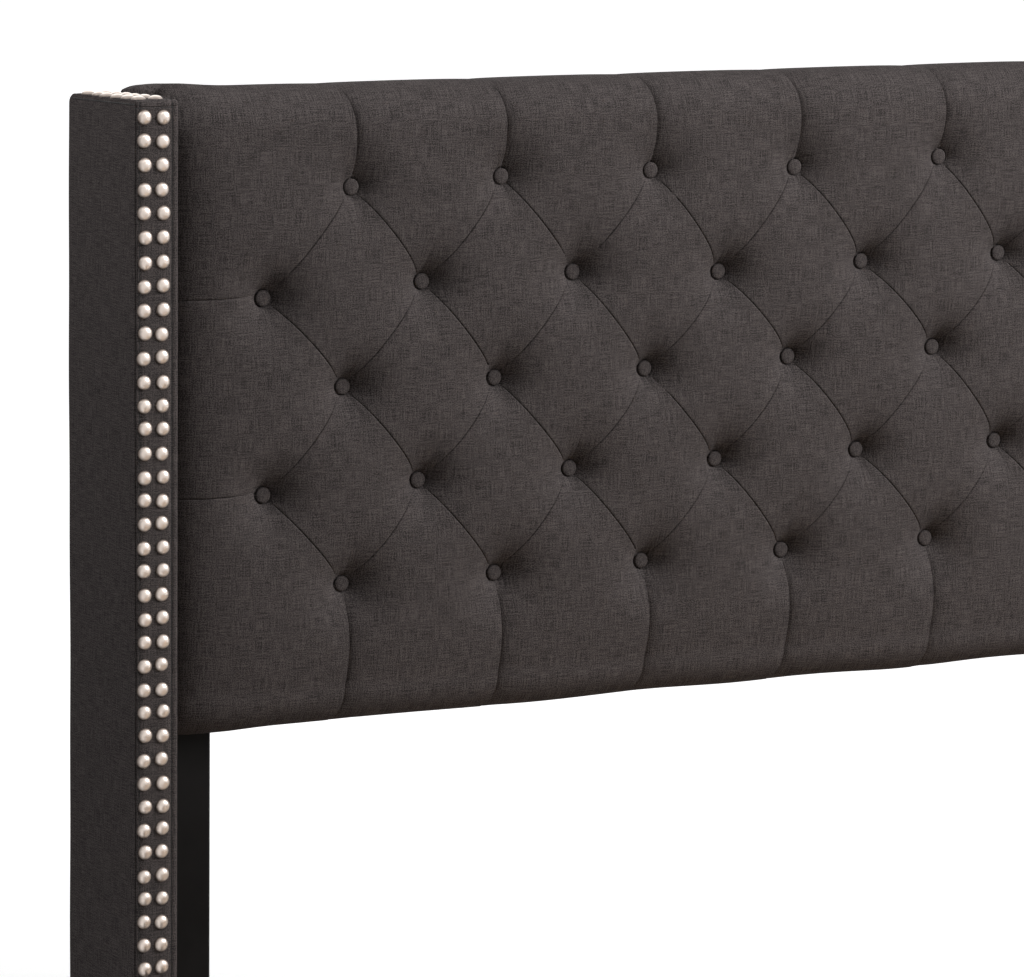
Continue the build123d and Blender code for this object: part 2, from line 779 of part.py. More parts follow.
with BuildPart() as leveller_inserts:
    for place in centre_leg_places:
        with BuildSketch(Plane(origin=(0, place, leg_bottom - insert_flange))):
            Circle(insert_flange_radius)
        extrude(amount=insert_flange)
        with BuildSketch(Plane(origin=(0, place, leg_bottom))):
            Circle(insert_radius)
        extrude(amount=insert_length)
        with BuildSketch(Plane(origin=(0, place, leg_bottom - insert_flange))):
            Circle(stem_radius + stem_clearance)
        extrude(amount=insert_flange + insert_length, mode=Mode.SUBTRACT)
leveller_inserts.part.label = "leveller_inserts"
export_step(leveller_inserts.part, "parts/leveller_inserts.step")

for number, place in enumerate(centre_leg_places, start=1):
    with BuildPart() as leveller:
        with BuildSketch(Plane(origin=(0, place, 0))):
            Circle(foot_disc_radius)
        extrude(amount=foot_disc)
        fillet(leveller.edges().group_by(Axis.Z)[-1], foot_disc_edge)
        with BuildSketch(Plane(origin=(0, place, foot_disc))):
            Circle(stem_radius)
        extrude(amount=stem_length)
    leveller.part.label = f"leveller_{number}"
    export_step(leveller.part, f"parts/leveller_{number}.step")

# Slats across the ledgers and the beam, spaced by webbing underneath
first_slat = rail_head - ledger_end_gap - slat_width / 2
last_slat = foot_frame_back + ledger_end_gap + slat_width / 2
slat_step = (last_slat - first_slat) / (slat_count - 1)
slat_half = rail_inner - slat_end_gap
with BuildPart() as slats:
    with BuildSketch(Plane.XY.offset(slat_bottom)):
        with Locations(*[(0, first_slat + number * slat_step) for number in range(slat_count)]):
            Rectangle(2 * slat_half, slat_width)
    extrude(amount=slat_thickness)
    fillet(slats.edges().filter_by(Axis.X).group_by(Axis.Z)[-1], slat_edge)
slats.part.label = "slats"
export_step(slats.part, "parts/slats.step")

with BuildPart() as slat_webbing:
    for side in (-1, 1):
        board(
            side * webbing_place - webbing_width / 2,
            side * webbing_place + webbing_width / 2,
            last_slat - slat_width / 2,
            first_slat + slat_width / 2,
            slat_bottom - webbing,
            slat_bottom,
        )
slat_webbing.part.label = "slat_webbing"
export_step(slat_webbing.part, "parts/slat_webbing.step")

# Plastic glides under everything that meets the floor
glide_places = [
    (side * x, y)
    for side in (-1, 1)
    for x, y in (
        (panel_half + wing_thickness / 2, wing_front + glide_inset),
        (panel_half + wing_thickness / 2, head_end - glide_inset),
        ((leg_inner + pad_half) / 2, (frame_front + panel_back) / 2),
        (foot_leg_place, foot_leg_y),
    )
]
with BuildPart() as floor_glides:
    with BuildSketch(Plane.XY):
        with Locations(*glide_places):
            Circle(glide_radius)
    extrude(amount=glide)
floor_glides.part.label = "floor_glides"
export_step(floor_glides.part, "parts/floor_glides.step")
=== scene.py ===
# %% [markdown]
# An upholstered wing bed in Blender. The CAD model is the fixed frame: timber, steel and hardware stay as
# they are and get a finish, while the soft pieces, which CAD can only rough out, are made here and take the
# place of their CAD solids. All lengths are metres, +Z is up and the head end is towards +Y.

# %% Load the frame
import math

import bmesh
import bpy
import numpy as np
from mathutils import Matrix, Vector, geometry


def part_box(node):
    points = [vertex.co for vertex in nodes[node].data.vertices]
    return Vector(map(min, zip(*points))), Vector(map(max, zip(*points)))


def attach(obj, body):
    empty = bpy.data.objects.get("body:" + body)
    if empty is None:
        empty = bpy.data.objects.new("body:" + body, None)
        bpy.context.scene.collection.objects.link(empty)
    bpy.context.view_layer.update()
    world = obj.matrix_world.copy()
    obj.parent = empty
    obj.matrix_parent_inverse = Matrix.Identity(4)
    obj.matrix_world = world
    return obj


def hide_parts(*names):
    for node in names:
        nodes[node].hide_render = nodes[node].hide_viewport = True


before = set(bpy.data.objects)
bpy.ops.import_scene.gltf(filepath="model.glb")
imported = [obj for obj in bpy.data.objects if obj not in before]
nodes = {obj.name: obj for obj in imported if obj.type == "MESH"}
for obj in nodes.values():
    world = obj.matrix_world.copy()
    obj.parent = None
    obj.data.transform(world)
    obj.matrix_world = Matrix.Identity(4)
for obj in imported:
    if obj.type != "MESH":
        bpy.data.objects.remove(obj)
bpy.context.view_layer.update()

# %% [markdown]
# The photograph was taken with a long lens from the front left, a little above the headboard's top. A camera
# is a place and three directions, so its matrix is built from them: forward, right and up. The picture is
# 1024 pixels wide, and the lens is given for that width.

# %% Camera
view_yaw = math.radians(28.44)
view_pitch = math.radians(8.82)
view_roll = math.radians(0.63)
level_share = math.cos(view_pitch)
forward = Vector((math.sin(view_yaw) * level_share, math.cos(view_yaw) * level_share, -math.sin(view_pitch)))
level_right = Vector((math.cos(view_yaw), -math.sin(view_yaw), 0))
level_up = level_right.cross(forward)
right = level_right * math.cos(view_roll) + level_up * math.sin(view_roll)
up = level_up * math.cos(view_roll) - level_right * math.sin(view_roll)
lens = bpy.data.cameras.new("view_of_the_wing")
lens.sensor_fit = "HORIZONTAL"
lens.sensor_width = 36
lens.lens = 187.64
lens.clip_end = 200
camera = bpy.data.objects.new("view_of_the_wing", lens)
bpy.context.scene.collection.objects.link(camera)
camera.matrix_world = Matrix((right, up, -forward)).transposed().to_4x4()
camera.location = (-3.1631, -4.1474, 1.8307)
bpy.context.scene.camera = camera

# %% [markdown]
# The light comes from the upper right, in front of the headboard: the dimples are dark on the side that
# faces away from it. One large square lamp does that, and a long low one above the headboard makes its top
# a little brighter than its foot. Two stand to the left, behind the wing's line, so they light the sides
# and leave the pad dark where it rolls in behind the wing. Two narrow beams light the footboard and the left
# rail alone, a weak lamp fills the front, and the last one lights the back.

# %% Lamps
scene = bpy.context.scene
scene.view_settings.view_transform = "Standard"


def lamp(name, place, target, size, power, beam_degrees=180):
    light = bpy.data.lights.new(name, "AREA")
    light.shape = "RECTANGLE"
    light.size, light.size_y = size
    light.energy = power
    light.spread = math.radians(beam_degrees)
    holder = bpy.data.objects.new(name, light)
    scene.collection.objects.link(holder)
    holder.visible_camera = False
    holder.location = place
    holder.rotation_euler = (Vector(target) - Vector(place)).to_track_quat("-Z", "Y").to_euler()
    return holder


lamp("key_lamp", (3.1, -1.8, 3.4), (-0.3, 1.0, 1.0), (1.9, 1.9), 274)
lamp("top_lamp", (-0.2, 0.15, 2.35), (-0.2, 1.0, 1.2), (2.4, 0.4), 6)
lamp("left_lamp", (-3.2, 1.9, 2.8), (-0.86, 0.6, 0.9), (1.6, 1.6), 9)
lamp("wing_lamp", (-1.75, 0.90, 2.30), (-0.86, 1.0, 1.2), (0.5, 0.5), 9)
lamp("foot_lamp", (0.4, -2.6, 1.6), (0.0, -1.15, 0.15), (2.2, 0.5), 9, beam_degrees=50)
lamp("rail_lamp", (-2.6, -0.9, 1.0), (-0.82, -0.5, 0.2), (1.6, 0.4), 8, beam_degrees=50)
lamp("front_lamp", (1.0, -5.0, 2.6), (0, 0.6, 0.9), (2.5, 2.5), 5)
lamp("back_lamp", (0.6, 4.8, 2.8), (0, 0.8, 0.8), (4.0, 4.0), 62)

# %% [markdown]
# A finish is a tree of nodes. Written by hand it is long, so a small class lets a socket be used in an
# ordinary sum: each operator adds the Math node that does it. Everything that isn't a sum comes from one
# method, which sets a node's settings first and then fills its sockets with numbers or with links.


# %% Finishes as sums
class Wire:
    """An output in a tree of nodes that can be used in sums."""

    def __init__(self, owner, socket):
        self.owner = owner
        self.socket = socket

    def sum(self, operation, first, second):
        return self.owner.add("ShaderNodeMath", {"operation": operation}, {0: first, 1: second})

    def __add__(self, other):
        return self.sum("ADD", self, other)

    __radd__ = __add__

    def __sub__(self, other):
        return self.sum("SUBTRACT", self, other)

    def __rsub__(self, other):
        return self.sum("SUBTRACT", other, self)

    def __mul__(self, other):
        return self.sum("MULTIPLY", self, other)

    __rmul__ = __mul__


class Nodes:
    """A tree of shader nodes, of a world or of a material."""

    def __init__(self, tree):
        self.tree = tree

    def feed(self, socket, value):
        if isinstance(value, Wire):
            self.tree.links.new(value.socket, socket)
        else:
            socket.default_value = value

    def add(self, kind, settings=None, values=None, output=0):
        node = self.tree.nodes.new(kind)
        for name, value in (settings or {}).items():
            setattr(node, name, value)
        for name, value in (values or {}).items():
            self.feed(node.inputs[name], value)
        return None if output is None else Wire(self, node.outputs[output])

    def place(self):
        return self.add("ShaderNodeTexCoord", output="Object")

    def cloth(self):
        return self.add("ShaderNodeUVMap", {"uv_map": "cloth"})

    def stretched(self, vector, scale):
        return self.add("ShaderNodeMapping", None, {"Vector": vector, "Scale": scale})

    def noise(self, vector, scale=1.0, detail=2.0, roughness=0.5):
        values = {"Vector": vector, "Scale": scale, "Detail": detail, "Roughness": roughness}
        return self.add("ShaderNodeTexNoise", None, values)

    def clamped(self, value, low, high):
        values = {"Value": value, "From Min": low, "From Max": high}
        return self.add("ShaderNodeMapRange", {"clamp": True}, values)

    def blend(self, factor, first, second):
        settings = {"data_type": "RGBA", "blend_type": "MIX"}
        return self.add("ShaderNodeMix", settings, {0: factor, 6: first, 7: second}, output=2)

    def length(self, vector):
        return self.add("ShaderNodeVectorMath", {"operation": "LENGTH"}, {0: vector}, output="Value")

    def seen(self):
        """1 where the camera, a reflection or a clear thing looks, and 0 where light is gathered."""
        kinds = ("Camera", "Glossy", "Transmission")
        camera, glossy, clear = [self.add("ShaderNodeLightPath", output=f"Is {kind} Ray") for kind in kinds]
        return camera + glossy + clear


class Finish(Nodes):
    """One material, built up from its Principled shader."""

    def __init__(self, name, **sockets):
        self.material = bpy.data.materials.new(name)
        self.material.use_nodes = True
        super().__init__(self.material.node_tree)
        self.shader = self.tree.nodes["Principled BSDF"]
        for socket, value in sockets.items():
            self.feed(self.shader.inputs[socket.replace("_", " ")], value)

    def colour(self, value):
        self.feed(self.shader.inputs["Base Color"], value)

    def mottled(self, pattern, colour, change, low=0.3, high=0.7):
        """The colour where the pattern is low, and the same colour times the change where it is high."""
        changed = [change * part for part in colour[:3]] + [1]
        self.colour(self.blend(self.clamped(pattern, low, high), colour, changed))

    def roughness(self, value):
        self.feed(self.shader.inputs["Roughness"], value)

    def bump(self, height, strength, distance):
        values = {"Strength": strength, "Distance": distance, "Height": height}
        self.feed(self.shader.inputs["Normal"], self.add("ShaderNodeBump", None, values))


# %% [markdown]
# The backdrop is the world. Rays that go straight to the camera see it white, and all other rays see a faint
# grey, so the picture has a white ground without more light on the bed.

# %% Backdrop
scene.world = bpy.data.worlds.new("studio")
scene.world.use_nodes = True
scene.world.node_tree.nodes.clear()
backdrop = Nodes(scene.world.node_tree)
ambient = backdrop.add("ShaderNodeBackground", None, {"Color": (1, 1, 1, 1), "Strength": 0.04})
white = backdrop.add("ShaderNodeBackground", None, {"Color": (1, 1, 1, 1), "Strength": 1.0})
backdrop_shader = backdrop.add("ShaderNodeMixShader", None, {0: backdrop.seen(), 1: ambient, 2: white})
backdrop.add("ShaderNodeOutputWorld", None, {"Surface": backdrop_shader}, output=None)

# %% [markdown]
# The cover is a charcoal linen. Up close it is two sets of uneven threads that cross, some a shade lighter
# than others. Two noises stretched along the cloth's two directions make the threads, a finer one makes the
# crossings, a fourth makes soft cloudy patches, and their sum sets the colour. The threads alone give a little
# relief. The pattern follows each piece's own cloth map, which is measured in metres, so the weave has one
# scale on every piece.


# %% Linen, dust cloth and webbing
def linen(name, dark, light, thread=1.0):
    finish = Finish(name, Roughness=0.95, Specular_IOR_Level=0.03)
    cloth = finish.cloth()
    warp = finish.noise(finish.stretched(cloth, (1100 * thread, 45, 1)), detail=1)
    weft = finish.noise(finish.stretched(cloth, (45, 1100 * thread, 1)), detail=1)
    crossings = finish.noise(cloth, scale=850 * thread, detail=1)
    cloud = finish.noise(cloth, scale=40, detail=3)
    weave = 0.23 * warp + 0.23 * weft + 0.5 * crossings + 0.04 * cloud
    shade = finish.clamped(weave, 0.445, 0.555)
    finish.colour(finish.blend(shade, dark, light))
    finish.bump(warp + weft, 0.5, 0.0004)
    return finish.material


def plain_cloth(name, colour, pitch):
    finish = Finish(name, Roughness=0.95)
    cloth = finish.cloth()
    grain = finish.noise(cloth, scale=pitch, detail=2)
    finish.mottled(grain, colour, 2.2, 0.35, 0.65)
    finish.bump(grain, 0.4, 0.0005)
    return finish.material


def woven_strap(name):
    finish = Finish(name, Roughness=0.8)
    cloth = finish.cloth()
    ribs = finish.add("ShaderNodeTexWave", {"bands_direction": "Y"}, {"Vector": cloth, "Scale": 160.0})
    finish.colour(finish.blend(ribs, (0.012, 0.012, 0.013, 1), (0.05, 0.05, 0.054, 1)))
    finish.bump(ribs, 0.6, 0.0008)
    return finish.material


cover_linen = linen("charcoal_linen", (0.0290, 0.0259, 0.0254, 1), (0.0965, 0.0828, 0.0812, 1))
under_cloth = plain_cloth("dust_cloth", (0.010, 0.010, 0.011, 1), 700)
strap_weave = woven_strap("woven_strap")

# %% [markdown]
# Timber shows long fibres, so its noise is stretched along the board. Which way a board runs differs from
# node to node, and a Mapping node with one scale for each axis turns the same recipe. Painted legs use the
# same fibres only as a faint relief under a satin coat.


# %% Timber finishes
def timber(name, along, pale, deep, gap=26.0):
    finish = Finish(name, Roughness=0.55)
    scale = [gap * 3, gap * 3, gap * 3]
    scale["xyz".index(along)] = 2.2
    fibres = finish.noise(finish.stretched(finish.place(), scale), detail=5, roughness=0.6)
    fine = [value * 5 for value in scale]
    pores = finish.noise(finish.stretched(finish.place(), fine), detail=2)
    shade = finish.clamped(0.75 * fibres + 0.25 * pores, 0.36, 0.64)
    finish.colour(finish.blend(shade, deep, pale))
    finish.roughness(0.5 + 0.2 * pores)
    finish.bump(pores, 0.25, 0.0004)
    return finish.material


def painted_timber(name, colour):
    finish = Finish(name, Roughness=0.5, Specular_IOR_Level=0.08)
    fibres = finish.noise(finish.stretched(finish.place(), (260, 260, 7)), detail=3)
    worn = finish.noise(finish.place(), scale=14, detail=4)
    finish.mottled(worn, colour, 1.7, low=0.4)
    finish.roughness(0.42 + 0.2 * worn)
    finish.bump(fibres, 0.12, 0.0004)
    return finish.material


pine_pale = (0.60, 0.44, 0.27, 1)
pine_deep = (0.43, 0.28, 0.15, 1)
pine_across = timber("pine_across", "x", pine_pale, pine_deep)
pine_along = timber("pine_along", "y", pine_pale, pine_deep)
pine_upright = timber("pine_upright", "z", pine_pale, pine_deep)
birch_ply = timber("birch_plywood", "x", (0.62, 0.50, 0.35, 1), (0.48, 0.36, 0.23, 1), gap=12.0)
black_wood = painted_timber("black_wood", (0.0045, 0.0042, 0.0042, 1))

# %% [markdown]
# Metal is mostly what it reflects. The nail heads are antique pewter: bright on the crown and dull brown
# towards the rim. That rim colour is partly a real patina, where no hand rubs it off, and partly painted
# shade, which stands for the dark reflections and the contact shadow round each head. Each head's cloth map
# holds the way from its crown in metres, so its length drives that change. Zinc plate is cooler and
# smoother, and the brackets have a black powder coat with a fine orange-peel relief.


# %% Metal and plastic finishes
def plated(name, colour, roughness, mottling):
    finish = Finish(name, Metallic=1.0)
    patches = finish.noise(finish.place(), scale=mottling, detail=3)
    finish.mottled(patches, colour, 0.8)
    finish.roughness(roughness + 0.12 * patches)
    finish.bump(patches, 0.05, 0.0003)
    return finish.material


def pewter_patina_and_shade(name, crown, rim, bright_until, darkest_from):
    finish = Finish(name)
    from_crown = finish.length(finish.cloth())
    patches = finish.noise(finish.place(), scale=260.0, detail=3)
    # painted shade: the brown towards the rim is part real patina and part painted shade for the rim's dark
    # reflections and contact shadow
    patina_and_shade = finish.clamped(from_crown + 0.0016 * (patches - 0.5), bright_until, darkest_from)
    finish.colour(finish.blend(patina_and_shade, crown, rim))
    finish.feed(finish.shader.inputs["Metallic"], 1.0 - 0.85 * patina_and_shade)
    finish.roughness(0.27 + 0.1 * patches + 0.2 * patina_and_shade)
    return finish.material


def coated(name, colour, roughness, pitch):
    finish = Finish(name)
    peel = finish.noise(finish.place(), scale=pitch, detail=1)
    finish.mottled(peel, colour, 1.5)
    finish.roughness(roughness + 0.1 * peel)
    finish.bump(peel, 0.15, 0.0003)
    return finish.material


# the dark rim colour is part patina and part painted shade round each nail head
pewter = pewter_patina_and_shade("pewter", (0.64, 0.56, 0.505, 1), (0.085, 0.058, 0.043, 1), 0.0050, 0.0098)
zinc = plated("zinc_steel", (0.56, 0.57, 0.60, 1), 0.26, 120.0)
black_steel = coated("black_steel", (0.014, 0.014, 0.015, 1), 0.42, 1500.0)
black_plastic = coated("black_plastic", (0.014, 0.014, 0.014, 1), 0.5, 900.0)
thread_black = coated("black_thread", (0.008, 0.008, 0.008, 1), 0.7, 2500.0)

# %% [markdown]
# CAD nodes whose shape is right keep it and take a finish in their own material slot. The lists say which
# way each board's grain runs.

# %% Finish the CAD nodes
node_finish = {
    pine_across: [
        "headboard_top_rail", "headboard_bottom_rail", "footboard_rails", "slats", "crossbar_dowels",
    ],
    pine_along: ["left_rail_core", "right_rail_core", "left_ledger", "right_ledger", "centre_beam"],
    pine_upright: ["headboard_mid_stiles", "footboard_stiles", "left_wing_core", "right_wing_core"],
    birch_ply: ["headboard_panel", "footboard_panel"],
    black_wood: ["left_headboard_leg", "right_headboard_leg", "head_crossbar", "foot_legs", "centre_legs"],
    zinc: [
        "head_bolts", "foot_bolts", "bolt_washers", "bolt_nuts", "leveller_inserts", "centre_leg_studs",
        "leveller_1", "leveller_2", "leveller_3",
    ],
    black_steel: ["head_rail_brackets", "foot_rail_brackets", "beam_saddles", "wing_brackets"],
    black_plastic: ["floor_glides"],
}
for finish, names in node_finish.items():
    for name in names:
        nodes[name].material_slots[0].material = finish
print("finished", sum(len(names) for names in node_finish.values()), "CAD nodes")

# %% [markdown]
# Most pieces are built from rings: closed loops with the same number of points, joined by quads. A helper
# makes such a loop round a rectangle with rounded corners, and another joins loops and closes both ends.
# Each piece also gets its cloth map here: every face is laid flat along the axis that it faces most, in
# metres, which is how an upholsterer cuts a box cover.


# %% Helpers for meshes
def new_piece(name, mesh, finish):
    piece = bpy.data.objects.new(name, mesh)
    scene.collection.objects.link(piece)
    mesh.materials.clear()
    mesh.materials.append(finish)
    return piece


def box_cloth_map(mesh):
    layer = mesh.uv_layers.new(name="cloth")
    flat = np.zeros(len(mesh.loops) * 2, np.float32)
    for face in mesh.polygons:
        size = [abs(part) for part in face.normal]
        main = size.index(max(size))
        across, along = ((1, 2), (0, 2), (0, 1))[main]
        for loop in face.loop_indices:
            co = mesh.vertices[mesh.loops[loop].vertex_index].co
            flat[2 * loop] = co[across]
            flat[2 * loop + 1] = co[along]
    layer.data.foreach_set("uv", flat)


def mesh_from(name, bm, sharp_degrees=40.0, cloth=False):
    mesh = bpy.data.meshes.new(name)
    bm.to_mesh(mesh)
    bm.free()
    for face in mesh.polygons:
        face.use_smooth = True
    mesh.set_sharp_from_angle(angle=math.radians(sharp_degrees))
    if cloth:
        box_cloth_map(mesh)
    return mesh


def rounded_loop(a0, a1, b0, b1, radii, stops_a, stops_b, steps_corner=4):
    """Points round a rectangle, from its (a1, b0) corner through (a1, b1); radii are in that order.

    The stops are places along a and along b where a straight side gets a point.
    """
    centres = []
    for (a, b), radius in zip(((a1, b0), (a1, b1), (a0, b1), (a0, b0)), radii):
        reach = max(min(radius, (a1 - a0) / 2, (b1 - b0) / 2), 0)
        centres.append((a + (-reach if a == a1 else reach), b + (-reach if b == b1 else reach), reach))
    points = []
    for corner, (a, b, reach) in enumerate(centres):
        for step in range(steps_corner + 1):
            angle = math.radians(90 * (corner - 1) + 90 * step / steps_corner)
            points.append((a + reach * math.cos(angle), b + reach * math.sin(angle)))
        a2, b2, _ = centres[(corner + 1) % 4]
        stops = sorted(stops_b if corner % 2 == 0 else stops_a, reverse=corner in (1, 2))
        for stop in stops:
            if corner % 2 == 0:
                points.append((points[-1][0], min(max(stop, min(b, b2)), max(b, b2))))
            else:
                points.append((min(max(stop, min(a, a2)), max(a, a2)), points[-1][1]))
    return points


def join_loops(loops, closed_ends=True):
    """Quads between successive loops of 3D points, and a face over each end."""
    bm = bmesh.new()
    rows = [[bm.verts.new(point) for point in loop] for loop in loops]
    for low, high in zip(rows, rows[1:]):
        for number in range(len(low)):
            after = (number + 1) % len(low)
            bm.faces.new((low[number], low[after], high[after], high[number]))
    if closed_ends:
        bm.faces.new(rows[0][::-1])
        bm.faces.new(rows[-1])
    bmesh.ops.remove_doubles(bm, verts=bm.verts, dist=0.00002)
    bmesh.ops.recalc_face_normals(bm, faces=bm.faces)
    return bm


# %% [markdown]
# Geometry Nodes set out whatever repeats. One tree puts a small piece on each marked point, faces it along
# the direction stored there, slips it a little sideways and turns it at random, since such work is done by
# hand. A second tree lays stitches along a drawn line. Both end in Realize Instances and Set Material, and
# the result is turned into a plain mesh. Three helpers start a tree, add a node to it and end it.


# %% Helpers for trees
def start_tree(name, inputs):
    tree = bpy.data.node_groups.new(name, "GeometryNodeTree")
    tree.interface.new_socket("Marks", in_out="INPUT", socket_type="NodeSocketGeometry")
    for label, kind in inputs:
        tree.interface.new_socket(label, in_out="INPUT", socket_type=kind)
    tree.interface.new_socket("Pieces", in_out="OUTPUT", socket_type="NodeSocketGeometry")
    return tree, tree.nodes.new("NodeGroupInput").outputs, tree.nodes.new("NodeGroupOutput")


def tree_node(tree, kind, settings=None, values=None, output=0):
    node = tree.nodes.new(kind)
    for name, value in (settings or {}).items():
        setattr(node, name, value)
    for name, value in (values or {}).items():
        if isinstance(value, bpy.types.NodeSocket):
            tree.links.new(value, node.inputs[name])
        else:
            node.inputs[name].default_value = value
    return node.outputs[output]


def end_tree(tree, given, result, placed):
    """Copies become real meshes and get the finish."""
    real = tree_node(tree, "GeometryNodeRealizeInstances", None, {"Geometry": placed})
    values = {"Geometry": real, "Material": given["Finish"]}
    tree.links.new(tree_node(tree, "GeometryNodeSetMaterial", None, values), result.inputs["Pieces"])
    return tree


# %% [markdown]
# Each marked point stores two vectors: where its piece faces, and which way is up on it. A slip is a random
# step across the facing, which is what a cross product gives. The turn is random too, about the piece's own
# axis, and the size shrinks by a random share.


# %% A tree that sets pieces on marks
def marked_pieces_tree():
    tree, given, result = start_tree(
        "pieces_on_marks",
        [
            ("Piece", "NodeSocketObject"),
            ("Slip", "NodeSocketFloat"),
            ("Turn", "NodeSocketFloat"),
            ("Size spread", "NodeSocketFloat"),
            ("Seed", "NodeSocketInt"),
            ("Finish", "NodeSocketMaterial"),
        ],
    )
    stored = {"data_type": "FLOAT_VECTOR"}
    by_vector = "FunctionNodeAlignRotationToVector"
    facing = tree_node(tree, "GeometryNodeInputNamedAttribute", stored, {"Name": "facing"})
    upward = tree_node(tree, "GeometryNodeInputNamedAttribute", stored, {"Name": "upward"})
    ends = {0: (-1, -1, -1), 1: (1, 1, 1), "Seed": given["Seed"]}
    chance = tree_node(tree, "FunctionNodeRandomValue", stored, ends)
    aside = tree_node(tree, "ShaderNodeVectorMath", {"operation": "CROSS_PRODUCT"}, {0: facing, 1: chance})
    slipped = tree_node(
        tree, "ShaderNodeVectorMath", {"operation": "SCALE"}, {0: aside, "Scale": given["Slip"]}
    )
    moved = tree_node(
        tree, "GeometryNodeSetPosition", None, {"Geometry": given["Marks"], "Offset": slipped}
    )
    stand = tree_node(tree, by_vector, {"axis": "Z"}, {"Vector": facing})
    heading = tree_node(
        tree, by_vector, {"axis": "Y", "pivot_axis": "Z"}, {"Rotation": stand, "Vector": upward}
    )
    back_turn = tree_node(tree, "ShaderNodeMath", {"operation": "MULTIPLY"}, {0: given["Turn"], 1: -1.0})
    one_number = {"data_type": "FLOAT"}
    ends = {2: back_turn, 3: given["Turn"], "Seed": given["Seed"]}
    spin = tree_node(tree, "FunctionNodeRandomValue", one_number, ends, output=1)
    spin_vector = tree_node(tree, "ShaderNodeCombineXYZ", None, {"Z": spin})
    spin_turn = tree_node(tree, "FunctionNodeEulerToRotation", None, {0: spin_vector})
    turned = tree_node(
        tree, "FunctionNodeRotateRotation", {"rotation_space": "LOCAL"},
        {"Rotation": heading, "Rotate By": spin_turn},
    )
    least = tree_node(tree, "ShaderNodeMath", {"operation": "SUBTRACT"}, {0: 1.0, 1: given["Size spread"]})
    ends = {2: least, 3: 1.0, "Seed": given["Seed"]}
    size = tree_node(tree, "FunctionNodeRandomValue", one_number, ends, output=1)
    piece = tree_node(tree, "GeometryNodeObjectInfo", None, {"Object": given["Piece"]}, output="Geometry")
    placed = tree_node(
        tree, "GeometryNodeInstanceOnPoints", None,
        {"Points": moved, "Instance": piece, "Rotation": turned, "Scale": size},
    )
    return end_tree(tree, given, result, placed)


# %% [markdown]
# A stitch is a short thin cylinder. The tree turns a drawn line into a curve, sets points on it at the
# stitch's pitch, and lays a cylinder along the line at each.


# %% A tree that lays stitches
def stitch_tree():
    tree, given, result = start_tree(
        "stitches_along_line",
        [
            ("Pitch", "NodeSocketFloat"),
            ("Stitch length", "NodeSocketFloat"),
            ("Thread radius", "NodeSocketFloat"),
            ("Finish", "NodeSocketMaterial"),
        ],
    )
    line = tree_node(tree, "GeometryNodeMeshToCurve", None, {"Mesh": given["Marks"]})
    spots = tree_node(
        tree, "GeometryNodeCurveToPoints", {"mode": "LENGTH"}, {"Curve": line, "Length": given["Pitch"]}
    )
    tangent = spots.node.outputs["Tangent"]
    along = tree_node(tree, "FunctionNodeAlignRotationToVector", {"axis": "Z"}, {"Vector": tangent})
    stitch = tree_node(
        tree, "GeometryNodeMeshCylinder", None,
        {
            "Vertices": 6, "Side Segments": 1,
            "Radius": given["Thread radius"], "Depth": given["Stitch length"],
        },
    )
    placed = tree_node(
        tree, "GeometryNodeInstanceOnPoints", None,
        {"Points": spots, "Instance": stitch, "Rotation": along},
    )
    return end_tree(tree, given, result, placed)


pieces_on_marks = marked_pieces_tree()
stitches_along_line = stitch_tree()
print("trees:", pieces_on_marks.name, "and", stitches_along_line.name)

# %% [markdown]
# A tree runs as a modifier on a mesh that holds only the marks. Its inputs are set by their sockets'
# identifiers, Blender works out the result once, and that result is kept as a plain mesh. One dome serves
# for nails, buttons and screws.


# %% Run a tree and make what it copies
def grown(name, marks, tree, settings):
    """Runs a tree on a mesh of marks and gives back the plain mesh that it makes."""
    maker = bpy.data.objects.new(name + "_marks", marks)
    scene.collection.objects.link(maker)
    modifier = maker.modifiers.new("grow", "NODES")
    modifier.node_group = tree
    for socket in tree.interface.items_tree:
        if socket.in_out == "INPUT" and socket.name in settings:
            modifier[socket.identifier] = settings[socket.name]
    found = maker.evaluated_get(bpy.context.evaluated_depsgraph_get())
    mesh = bpy.data.meshes.new_from_object(found)
    mesh.name = name
    maker.modifiers.remove(modifier)
    bpy.data.objects.remove(maker)
    return mesh


def marks_mesh(name, marks):
    """marks holds (place, facing, upward) for each piece."""
    mesh = bpy.data.meshes.new(name)
    mesh.from_pydata([place for place, _, _ in marks], [], [])
    for number, label in ((1, "facing"), (2, "upward")):
        layer = mesh.attributes.new(label, "FLOAT_VECTOR", "POINT")
        layer.data.foreach_set("vector", [part for mark in marks for part in mark[number]])
    return mesh


def pieces_at(name, marks, template, finish, slip=0.0, turn=0.0, spread=0.0, seed=1):
    settings = {
        "Piece": template, "Slip": slip, "Turn": turn, "Size spread": spread, "Seed": seed, "Finish": finish,
    }
    mesh = grown(name, marks_mesh(name + "_places", marks), pieces_on_marks, settings)
    return new_piece(name, mesh, finish)


def stitches(name, lines, pitch=0.0040, length=0.0029, radius=0.00045):
    """lines are lists of points; the stitches of them all are one piece."""
    points, edges = [], []
    for line in lines:
        first = len(points)
        points += line
        edges += [(first + step, first + step + 1) for step in range(len(line) - 1)]
    marks = bpy.data.meshes.new(name + "_lines")
    marks.from_pydata(points, edges, [])
    settings = {"Pitch": pitch, "Stitch length": length, "Thread radius": radius, "Finish": thread_black}
    return new_piece(name, grown(name, marks, stitches_along_line, settings), thread_black)


def template_of(name, bm):
    """A small piece that trees copy; it is removed once the copies are made."""
    mesh = mesh_from(name, bm, 50)
    template = bpy.data.objects.new(name, mesh)
    scene.collection.objects.link(template)
    return template


